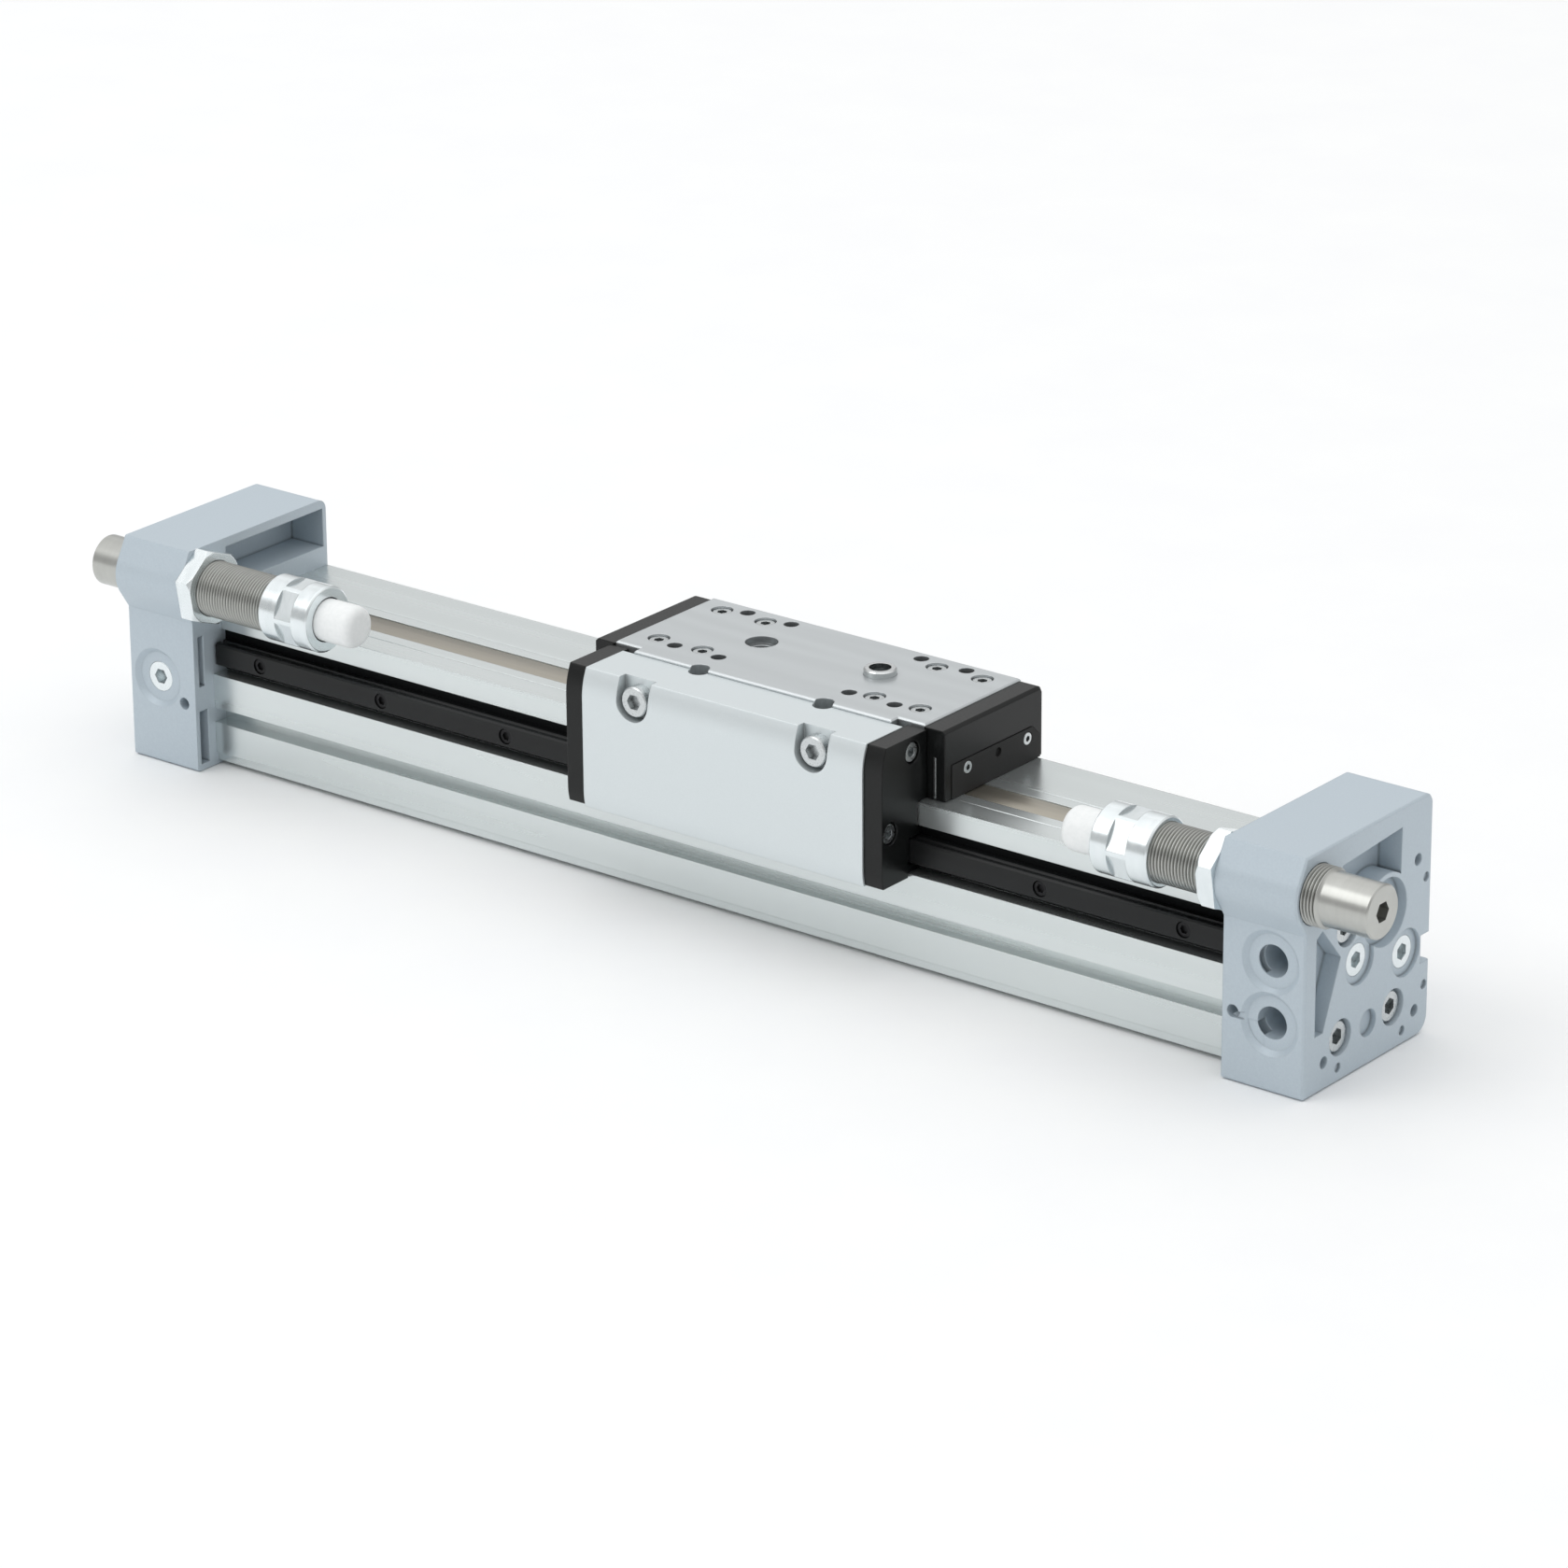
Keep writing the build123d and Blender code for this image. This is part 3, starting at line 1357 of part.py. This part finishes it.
save("piston_seals", *piston_ring(piston_seal_start, piston_seal_width, piston_seal_depth,
                                  bore_radius - 0.05))
save("piston_wear_rings", *piston_ring(wear_ring_start, wear_ring_width, wear_ring_depth,
                                       bore_radius - 0.1))
save("piston_magnets", *piston_ring(magnet_start, magnet_width, magnet_depth, piston_radius - 0.2))
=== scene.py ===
import bpy
import bmesh
import json
import math
from mathutils import Matrix, Vector


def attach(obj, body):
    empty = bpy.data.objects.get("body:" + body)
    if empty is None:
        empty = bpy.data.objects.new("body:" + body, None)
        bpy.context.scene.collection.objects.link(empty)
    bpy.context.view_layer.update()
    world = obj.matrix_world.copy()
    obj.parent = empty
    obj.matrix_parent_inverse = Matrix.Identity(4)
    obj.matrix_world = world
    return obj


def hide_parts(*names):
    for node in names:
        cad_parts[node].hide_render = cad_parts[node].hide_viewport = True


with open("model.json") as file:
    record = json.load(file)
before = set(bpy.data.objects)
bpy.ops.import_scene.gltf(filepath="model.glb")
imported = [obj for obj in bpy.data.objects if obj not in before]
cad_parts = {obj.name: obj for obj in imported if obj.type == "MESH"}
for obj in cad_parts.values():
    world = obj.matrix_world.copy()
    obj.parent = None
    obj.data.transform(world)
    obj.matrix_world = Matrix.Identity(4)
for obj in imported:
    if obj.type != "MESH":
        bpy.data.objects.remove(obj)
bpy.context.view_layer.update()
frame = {"nodes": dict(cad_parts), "record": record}
nodes = frame["nodes"]
mm = 0.001
print("stage: frame loaded,", len(nodes), "nodes")


# Camera at the photograph's place, solved from the edges of the caps and the slide
camera = {
    "place": (1.0607, -1.3312, 0.7027),
    "right": (0.78747, 0.61632, -0.00700),
    "back": (0.57511, -0.73064, 0.36799),
    "lens": 156.11,
    "sensor": 36.0,
    "nearest": 0.05, "farthest": 30,
}


def makeCamera(settings):
    data = bpy.data.cameras.new("camera")
    data.sensor_fit = "HORIZONTAL"
    data.sensor_width = settings["sensor"]
    data.lens = settings["lens"]
    data.clip_start = settings["nearest"]
    data.clip_end = settings["farthest"]
    right = Vector(settings["right"]).normalized()
    back = Vector(settings["back"]).normalized()
    up = back.cross(right).normalized()
    right = up.cross(back)
    turn = Matrix((right, up, back)).transposed().to_4x4()
    view = bpy.data.objects.new("camera", data)
    view.matrix_world = Matrix.Translation(Vector(settings["place"])) @ turn
    bpy.context.scene.collection.objects.link(view)
    bpy.context.scene.camera = view


makeCamera(camera)
bpy.context.scene.view_settings.view_transform = "Standard"


# Colours are written as sRGB and turned to linear here
def colour(code):
    values = [int(code[i:i + 2], 16) / 255 for i in (1, 3, 5)]
    return tuple(v / 12.92 if v <= 0.04045 else ((v + 0.055) / 1.055) ** 2.4 for v in values) + (1.0,)


def addNode(tree, kind, settings=None, links=None):
    node = tree.nodes.new(kind)
    for key, value in (settings or {}).items():
        if isinstance(key, int) or key in node.inputs:
            node.inputs[key].default_value = value
        else:
            setattr(node, key, value)
    for key, source in (links or {}).items():
        tree.links.new(source, node.inputs[key])
    return node


def newMaterial(name):
    material = bpy.data.materials.new(name)
    material.use_nodes = True
    tree = material.node_tree
    tree.nodes.clear()
    shader = addNode(tree, "ShaderNodeBsdfPrincipled")
    addNode(tree, "ShaderNodeOutputMaterial", links={"Surface": shader.outputs["BSDF"]})
    place = addNode(tree, "ShaderNodeTexCoord").outputs["Object"]
    return material, tree, shader, place


# noise whose grains measure sizes, in millimetres along X, Y and Z
def grain(tree, place, sizes, detail=3.0):
    scale = tuple(1000.0 / size for size in sizes)
    mapping = addNode(tree, "ShaderNodeMapping", {"Scale": scale}, {"Vector": place})
    return addNode(tree, "ShaderNodeTexNoise", {"Scale": 1.0, "Detail": detail, "Roughness": 0.6},
                   {"Vector": mapping.outputs["Vector"]}).outputs["Fac"]


# stretches the middle of a noise, where nearly all of it lies, to run from low to high
def spread(tree, value, low, high):
    ramp = addNode(tree, "ShaderNodeMapRange", {"From Min": 0.3, "From Max": 0.7, "To Min": low,
                                                "To Max": high}, {"Value": value})
    return ramp.outputs["Result"]


def tint(tree, value, dark, light):
    mix = addNode(tree, "ShaderNodeMix", {"data_type": "RGBA", 6: colour(dark), 7: colour(light)},
                  {0: value})
    return mix.outputs[2]


# bump from the given height over softly rounded edges
def finishSurface(tree, shader, heights, depth, edge):
    rounded = addNode(tree, "ShaderNodeBevel", {"samples": 8, "Radius": edge * mm})
    if depth == 0:
        tree.links.new(rounded.outputs["Normal"], shader.inputs["Normal"])
        return
    bump = addNode(tree, "ShaderNodeBump", {"Strength": 1.0, "Distance": depth * mm},
                   {"Height": heights, "Normal": rounded.outputs["Normal"]})
    tree.links.new(bump.outputs["Normal"], shader.inputs["Normal"])


# a finish's paintedCreviceShade entry, reach in millimetres and depth, paints shade into the colour of its
# hollows
finishes = {
    # natural anodised extrusion: even satin silver that mirrors the slide and caps softly;
    # its real drawing lines are finer than a pixel, so only broad faint bands are drawn
    "anodisedExtrusion": {"dark": "#d7dddd", "light": "#dce2e2", "metallic": 0.85, "rough": (0.26, 0.29),
                          "grain": (300, 6, 6), "detail": 0.0, "depth": 0.0, "edge": 0.3},
    # die-cast aluminium under a light blue-grey coating: even, slightly pebbled, soft gloss
    "coatedCasting": {"dark": "#b7c3cc", "light": "#bdc9d1", "metallic": 0.15, "rough": (0.38, 0.48),
                      "grain": (0.6, 0.6, 0.6), "depth": 0.004, "edge": 0.5, "paintedCreviceShade": (1.0, 0.75)},
    # zinc-plated steel screw: bright grey, a little cloudy
    "zincSteel": {"dark": "#c2c6c7", "light": "#d4d8d9", "metallic": 1.0, "rough": (0.24, 0.34),
                  "grain": (0.8, 0.8, 0.8), "depth": 0.0, "edge": 0.15, "paintedCreviceShade": (1.5, 0.75)},
    # bright zinc plating on turned steel: clear cool reflections, faint turning marks
    "brightZinc": {"dark": "#e4ebed", "light": "#ecf2f4", "metallic": 0.9, "rough": (0.20, 0.26),
                   "grain": (2.0, 6.0, 6.0), "depth": 0.0, "edge": 0.3, "paintedCreviceShade": (1.5, 0.5)},
    # blackened steel screw: dark, oily half-gloss
    "blackSteel": {"dark": "#161618", "light": "#202022", "metallic": 0.6, "rough": (0.40, 0.5),
                   "grain": (0.6, 0.6, 0.6), "depth": 0.002, "edge": 0.12},
    # hardened guide rail with a dark coating: nearly black, ground along X
    "darkRail": {"dark": "#111213", "light": "#17191a", "metallic": 0.4, "rough": (0.40, 0.44),
                 "grain": (60, 4, 4), "detail": 0.0, "depth": 0.0, "edge": 0.2},
    # cold-rolled stainless band: brownish silver with fine lines along X; the dark brownish tone is painted
    # reflection, standing in for the dark reflections of the slide and covers on it
    "rolledBandPaintedReflection": {"dark": "#a5a095", "light": "#b2ada1", "metallic": 0.9, "rough": (0.28, 0.36),
                   "grain": (60, 0.3, 0.3), "depth": 0.001, "edge": 0.05},
    # machined aluminium: bright grey with fine tool marks
    "machinedAluminium": {"dark": "#b4b5b8", "light": "#c4c5c8", "metallic": 1.0, "rough": (0.25, 0.35),
                          "grain": (2, 0.3, 0.3), "depth": 0.003, "edge": 0.15},
    # seal rubber: black, dull
    "sealRubber": {"dark": "#161616", "light": "#222222", "metallic": 0.0, "rough": (0.65, 0.8),
                   "grain": (0.4, 0.4, 0.4), "depth": 0.008, "edge": 0.2},
    # nickel-plated turned body of the absorber: grey with a trace of warmth
    "turnedNickel": {"dark": "#b7b8b4", "light": "#bebfbb", "metallic": 0.9, "rough": (0.28, 0.29),
                     "grain": (2.0, 8.0, 8.0), "depth": 0.0, "edge": 0.15, "paintedCreviceShade": (0.8, 0.7)},
    # ground steel: light and even
    "groundSteel": {"dark": "#c6c9ca", "light": "#d6d9d9", "metallic": 1.0, "rough": (0.16, 0.22),
                    "grain": (0.3, 0.3, 0.3), "depth": 0.001, "edge": 0.15},
    # polyamide buffer: clean white, soft sheen
    "whitePolyamide": {"dark": "#eef1f1", "light": "#f5f7f7", "metallic": 0.0, "rough": (0.40, 0.5),
                       "grain": (1.2, 1.2, 1.2), "depth": 0.003, "edge": 0.4},
    # clear anodised milled plate: pale satin, fine even blasting
    "satinPlate": {"dark": "#d9e0e2", "light": "#dce3e5", "metallic": 0.6, "rough": (0.36, 0.44),
                   "grain": (0.4, 0.4, 0.4), "depth": 0.0, "edge": 0.4, "paintedCreviceShade": (4.0, 0.92)},
    # the slide's top plate: the same anodising over a ground face, greyer and a little glossier
    "groundPlate": {"dark": "#c6cbcd", "light": "#cbd0d2", "metallic": 0.75, "rough": (0.28, 0.33),
                    "grain": (60, 4, 4), "detail": 0.0, "depth": 0.0, "edge": 0.4,
                    "paintedCreviceShade": (4.0, 0.92)},
    # black polyacetal cover: fine moulded texture, greyer on top from its sheen
    "blackPolyacetal": {"dark": "#0d0e0e", "light": "#121414", "metallic": 0.0, "rough": (0.30, 0.38),
                        "grain": (0.5, 0.5, 0.5), "depth": 0.005, "edge": 0.5, "specular": 0.3},
    # natural polyacetal inside the bore
    "creamPolyacetal": {"dark": "#d6d0bd", "light": "#e2dccb", "metallic": 0.0, "rough": (0.4, 0.5),
                        "grain": (1, 1, 1), "depth": 0.004, "edge": 0.2},
    # plastic-bonded magnet: dark grey, dull
    "bondedMagnet": {"dark": "#2d2d30", "light": "#3b3b3e", "metallic": 0.3, "rough": (0.55, 0.65),
                     "grain": (0.5, 0.5, 0.5), "depth": 0.004, "edge": 0.1},
}

# The guide rail's recess along the barrel's front, with painted shade: the barrel's faces in it are coloured
# near black like the rail, in place of the shadow that fills it; its faces in millimetres
railRecessShade = {"low": 27.35, "high": 39.65, "front": -20.6, "back": -15.0,
              "colour": "#1a1c1d", "dulled": 0.55}


# painted shade: darkens the colour of sockets, counterbores and inner corners within the given reach
# in millimetres, from the ambient occlusion of the piece alone, so that no painted shade stays behind
# where the slide has moved away
def paintCreviceShade(tree, shade, reach, depth):
    hollow = addNode(tree, "ShaderNodeAmbientOcclusion", {"samples": 8, "only_local": True,
                                                          "Distance": reach * mm}).outputs["AO"]
    level = addNode(tree, "ShaderNodeMapRange", {"From Min": 0.2, "From Max": 0.9, "To Min": 1.0 - depth,
                                                 "To Max": 1.0}, {"Value": hollow})
    darker = addNode(tree, "ShaderNodeMix", {"data_type": "RGBA", "blend_type": "MULTIPLY", 0: 1.0},
                     {6: shade, 7: level.outputs["Result"]})
    return darker.outputs[2]


def makeFinish(name, settings):
    material, tree, shader, place = newMaterial(name)
    noise = grain(tree, place, settings["grain"], settings.get("detail", 3.0))
    shade = tint(tree, spread(tree, noise, 0.0, 1.0), settings["dark"], settings["light"])
    # painted shade in hollows and corners, for the finishes that ask for it
    if "paintedCreviceShade" in settings:
        shade = paintCreviceShade(tree, shade, *settings["paintedCreviceShade"])
    tree.links.new(shade, shader.inputs["Base Color"])
    tree.links.new(spread(tree, noise, *settings["rough"]), shader.inputs["Roughness"])
    shader.inputs["Metallic"].default_value = settings["metallic"]
    shader.inputs["Specular IOR Level"].default_value = settings.get("specular", 0.5)
    finishSurface(tree, shader, noise, settings["depth"], settings["edge"])
    return material


# painted shade: blackens the faces of the recess that lie between its two edges, behind the barrel's front,
# in place of the shadow there
def paintRecessShade(material, settings):
    tree = material.node_tree
    shader = next(node for node in tree.nodes if node.type == "BSDF_PRINCIPLED")
    place = next(node for node in tree.nodes if node.type == "TEX_COORD").outputs["Object"]
    axes = addNode(tree, "ShaderNodeSeparateXYZ", links={"Vector": place}).outputs
    tests = [("GREATER_THAN", axes["Z"], settings["low"]), ("LESS_THAN", axes["Z"], settings["high"]),
             ("GREATER_THAN", axes["Y"], settings["front"]), ("LESS_THAN", axes["Y"], settings["back"])]
    recessShadeMask = None
    for operation, source, limit in tests:
        test = addNode(tree, "ShaderNodeMath", {"operation": operation, 1: limit * mm}, {0: source})
        if recessShadeMask is None:
            recessShadeMask = test.outputs["Value"]
        else:
            both = addNode(tree, "ShaderNodeMath", {"operation": "MULTIPLY"},
                           {0: recessShadeMask, 1: test.outputs["Value"]})
            recessShadeMask = both.outputs["Value"]
    plain = shader.inputs["Base Color"].links[0].from_socket
    mix = addNode(tree, "ShaderNodeMix", {"data_type": "RGBA", 7: colour(settings["colour"])},
                  {0: recessShadeMask, 6: plain})
    tree.links.new(mix.outputs[2], shader.inputs["Base Color"])
    satin = shader.inputs["Roughness"].links[0].from_socket
    dull = addNode(tree, "ShaderNodeMix", {"data_type": "FLOAT", 3: settings["dulled"]},
                   {0: recessShadeMask, 2: satin})
    tree.links.new(dull.outputs[0], shader.inputs["Roughness"])


materials = {name: makeFinish(name, settings) for name, settings in finishes.items()}
paintRecessShade(materials["anodisedExtrusion"], railRecessShade)
print("stage: materials made,", len(materials))

finishOfSlot = {
    "profile_aluminium": "anodisedExtrusion", "cap_coating": "coatedCasting",
    "screw_zinc": "zincSteel", "bright_zinc": "brightZinc", "black_screw": "blackSteel",
    "rail_steel": "darkRail", "band_steel": "rolledBandPaintedReflection", "clamp_aluminium": "machinedAluminium",
    "seal_rubber": "sealRubber", "absorber_nickel": "turnedNickel", "plunger_steel": "groundSteel",
    "spring_steel": "zincSteel", "buffer_plastic": "whitePolyamide", "plate_aluminium": "satinPlate",
    "sleeve_steel": "groundSteel", "carriage_steel": "groundSteel",
    "cover_plastic": "blackPolyacetal", "piston_plastic": "creamPolyacetal", "magnet": "bondedMagnet",
}
for entry in frame["record"]["subparts"]:
    node = nodes[entry["node"]]
    node.data.materials.clear()
    node.data.materials.append(materials[finishOfSlot[entry["material_slot"]]])
nodes["slide_plate"].data.materials[0] = materials["groundPlate"]


weldDistance = 1e-7
sharpAngle = math.radians(25)


def addPiece(name, shape, slotName):
    bmesh.ops.remove_doubles(shape, verts=shape.verts, dist=weldDistance)
    bmesh.ops.recalc_face_normals(shape, faces=shape.faces)
    data = bpy.data.meshes.new(name)
    shape.to_mesh(data)
    shape.free()
    piece = bpy.data.objects.new(name, data)
    bpy.context.scene.collection.objects.link(piece)
    data.materials.append(materials[finishOfSlot[slotName]])
    data.shade_smooth()
    data.set_sharp_from_angle(angle=sharpAngle)
    return piece


# Threaded housing of a shock absorber, all in millimetres from its outer end
absorberHousing = {
    "axisY": -23.85, "axisZ": 54.95,
    "headRadius": 7.2, "headLength": 14.3, "headBevel": 0.4,
    "threadRadius": 8.0, "rootRadius": 7.4, "pitch": 1.0, "length": 70.0,
    "runIn": 0.3, "runOut": 0.4, "crestStart": 0.42, "crestEnd": 0.58,
    "boreRadius": 5.5, "boreStart": 16.0,
    "socketAcrossFlats": 5.0, "socketDepth": 5.0,
    "steps": 48,
    "ends": {"left": (-210.9, 1), "right": (219.3, -1)},
}


def housingProfile(sizes):
    head, length = sizes["headLength"], sizes["length"]
    root, crest = sizes["rootRadius"], sizes["threadRadius"]
    points = [(0, sizes["headRadius"] - sizes["headBevel"]), (sizes["headBevel"], sizes["headRadius"]),
              (head, sizes["headRadius"])]
    ridges = int((length - head) / sizes["pitch"] - 1)
    for number in range(ridges):
        start = head + sizes["runIn"] + number * sizes["pitch"]
        points += [(start, root), (start + sizes["crestStart"] * sizes["pitch"], crest),
                   (start + sizes["crestEnd"] * sizes["pitch"], crest)]
    points += [(length - sizes["runOut"], root), (length, root), (length, sizes["boreRadius"]),
               (sizes["boreStart"], sizes["boreRadius"]), (sizes["boreStart"], 0)]
    return points


def makeHousing(side, sizes):
    outerEnd, way = sizes["ends"][side]
    shape = bmesh.new()
    profile = [shape.verts.new((along * mm, 0, radius * mm)) for along, radius in housingProfile(sizes)]
    lines = [shape.edges.new(pair) for pair in zip(profile, profile[1:])]
    bmesh.ops.spin(shape, geom=profile + lines, cent=(0, 0, 0), axis=(1, 0, 0), dvec=(0, 0, 0),
                   angle=2 * math.pi, steps=sizes["steps"], use_merge=True, use_duplicate=False)
    bmesh.ops.remove_doubles(shape, verts=shape.verts, dist=weldDistance)
    rim = [edge for edge in shape.edges if all(abs(vert.co.x) < weldDistance for vert in edge.verts)]
    # hexagon socket: its rim, cut to as many edges as the housing's, then its walls and floor
    before = set(shape.edges)
    bmesh.ops.create_circle(shape, cap_ends=False, segments=6, matrix=Matrix.Rotation(math.pi / 2, 4, "Y"),
                            radius=sizes["socketAcrossFlats"] / 2 / math.cos(math.pi / 6) * mm)
    socket = [edge for edge in shape.edges if edge not in before]
    bmesh.ops.subdivide_edges(shape, edges=socket, cuts=sizes["steps"] // 6 - 1)
    socket = [edge for edge in shape.edges if edge not in before]
    walls = bmesh.ops.extrude_edge_only(shape, edges=socket)
    moved = [item for item in walls["geom"] if isinstance(item, bmesh.types.BMVert)]
    bmesh.ops.translate(shape, verts=moved, vec=(sizes["socketDepth"] * mm, 0, 0))
    floorEdges = [item for item in walls["geom"] if isinstance(item, bmesh.types.BMEdge)
                  and all(vert in moved for vert in item.verts)]
    bmesh.ops.contextual_create(shape, geom=floorEdges)
    bmesh.ops.bridge_loops(shape, edges=rim + socket)
    bmesh.ops.scale(shape, verts=shape.verts, vec=(way, 1, 1))
    bmesh.ops.translate(shape, verts=shape.verts,
                        vec=(outerEnd * mm, sizes["axisY"] * mm, sizes["axisZ"] * mm))
    piece = addPiece(side + "ThreadedHousing", shape, "absorber_nickel")
    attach(piece, side + "_absorber")
    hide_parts(side + "_absorber_housing")


for side in absorberHousing["ends"]:
    makeHousing(side, absorberHousing)

# Outer cover band, lying flat over its whole length, so that the slide can pass along it
coverBand = {"halfLength": 181.2, "halfWidth": 4.5, "low": 45.5, "high": 45.8, "edgeBevel": 0.08}


def makeCoverBand(sizes):
    shape = bmesh.new()
    bmesh.ops.create_cube(shape, size=1.0)
    bmesh.ops.scale(shape, verts=shape.verts, vec=(2 * sizes["halfLength"] * mm, 2 * sizes["halfWidth"] * mm,
                                                   (sizes["high"] - sizes["low"]) * mm))
    bmesh.ops.translate(shape, verts=shape.verts, vec=(0, 0, (sizes["high"] + sizes["low"]) / 2 * mm))
    bmesh.ops.bevel(shape, geom=shape.edges, affect="EDGES", offset=sizes["edgeBevel"] * mm, segments=2,
                    profile=0.5, material=-1)
    piece = addPiece("coverBandFlat", shape, "band_steel")
    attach(piece, "base")
    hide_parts("outer_cover_band")


makeCoverBand(coverBand)
print("stage: absorber housings and cover band made")


# Floor and light: a pale sweep under a soft sky, brighter overhead than at the horizon, which lights
# the tops in place of a lamp that bare metal would mirror as a white patch
studio = {
    "floorDark": "#f9fafb", "floorLight": "#fbfcfc", "floorGrain": (40, 40, 40), "floorRough": 0.9,
    "floorSize": 6, "floorBelow": 0.0002,
    "horizon": 0.5, "overhead": 1.3, "horizonEnds": 0.35, "overheadStarts": 0.95,
    "aim": (0, 0, 0.03),
    "lamps": [
        # name, place in metres, size, power in watts
        ("rearLamp", (-1.35, 1.7, 1.2), 1.5, 1.5),
        ("frontLamp", (-0.8, -1.3, 1.6), 1.6, 8),
    ],
}


def makeFloor(settings):
    shape = bmesh.new()
    bmesh.ops.create_grid(shape, x_segments=1, y_segments=1, size=settings["floorSize"])
    data = bpy.data.meshes.new("floor")
    shape.to_mesh(data)
    shape.free()
    floor = bpy.data.objects.new("floor", data)
    floor.location = (0, 0, -settings["floorBelow"])
    bpy.context.scene.collection.objects.link(floor)
    # matt paper: even, with the faintest mottle
    material, tree, shader, place = newMaterial("floorPaper")
    mottle = spread(tree, grain(tree, place, settings["floorGrain"]), 0.0, 1.0)
    tree.links.new(tint(tree, mottle, settings["floorDark"], settings["floorLight"]),
                   shader.inputs["Base Color"])
    shader.inputs["Roughness"].default_value = settings["floorRough"]
    data.materials.append(material)


def makeSky(settings):
    world = bpy.data.worlds.new("studio")
    world.use_nodes = True
    tree = world.node_tree
    background = tree.nodes["Background"]
    direction = addNode(tree, "ShaderNodeTexCoord").outputs["Generated"]
    height = addNode(tree, "ShaderNodeSeparateXYZ", links={"Vector": direction}).outputs["Z"]
    level = addNode(tree, "ShaderNodeMapRange", {"From Min": settings["horizonEnds"],
                                                 "From Max": settings["overheadStarts"],
                                                 "To Min": settings["horizon"],
                                                 "To Max": settings["overhead"]}, {"Value": height})
    background.inputs["Color"].default_value = (1, 1, 1, 1)
    tree.links.new(level.outputs["Result"], background.inputs["Strength"])
    bpy.context.scene.world = world


def makeLamps(settings):
    for name, place, size, power in settings["lamps"]:
        lamp = bpy.data.lights.new(name, "AREA")
        lamp.shape = "DISK"
        lamp.size = size
        lamp.energy = power
        holder = bpy.data.objects.new(name, lamp)
        holder.location = place
        aim = Vector(settings["aim"]) - Vector(place)
        holder.rotation_euler = aim.to_track_quat("-Z", "Y").to_euler()
        bpy.context.scene.collection.objects.link(holder)


makeFloor(studio)
makeSky(studio)
makeLamps(studio)
print("stage: studio made")
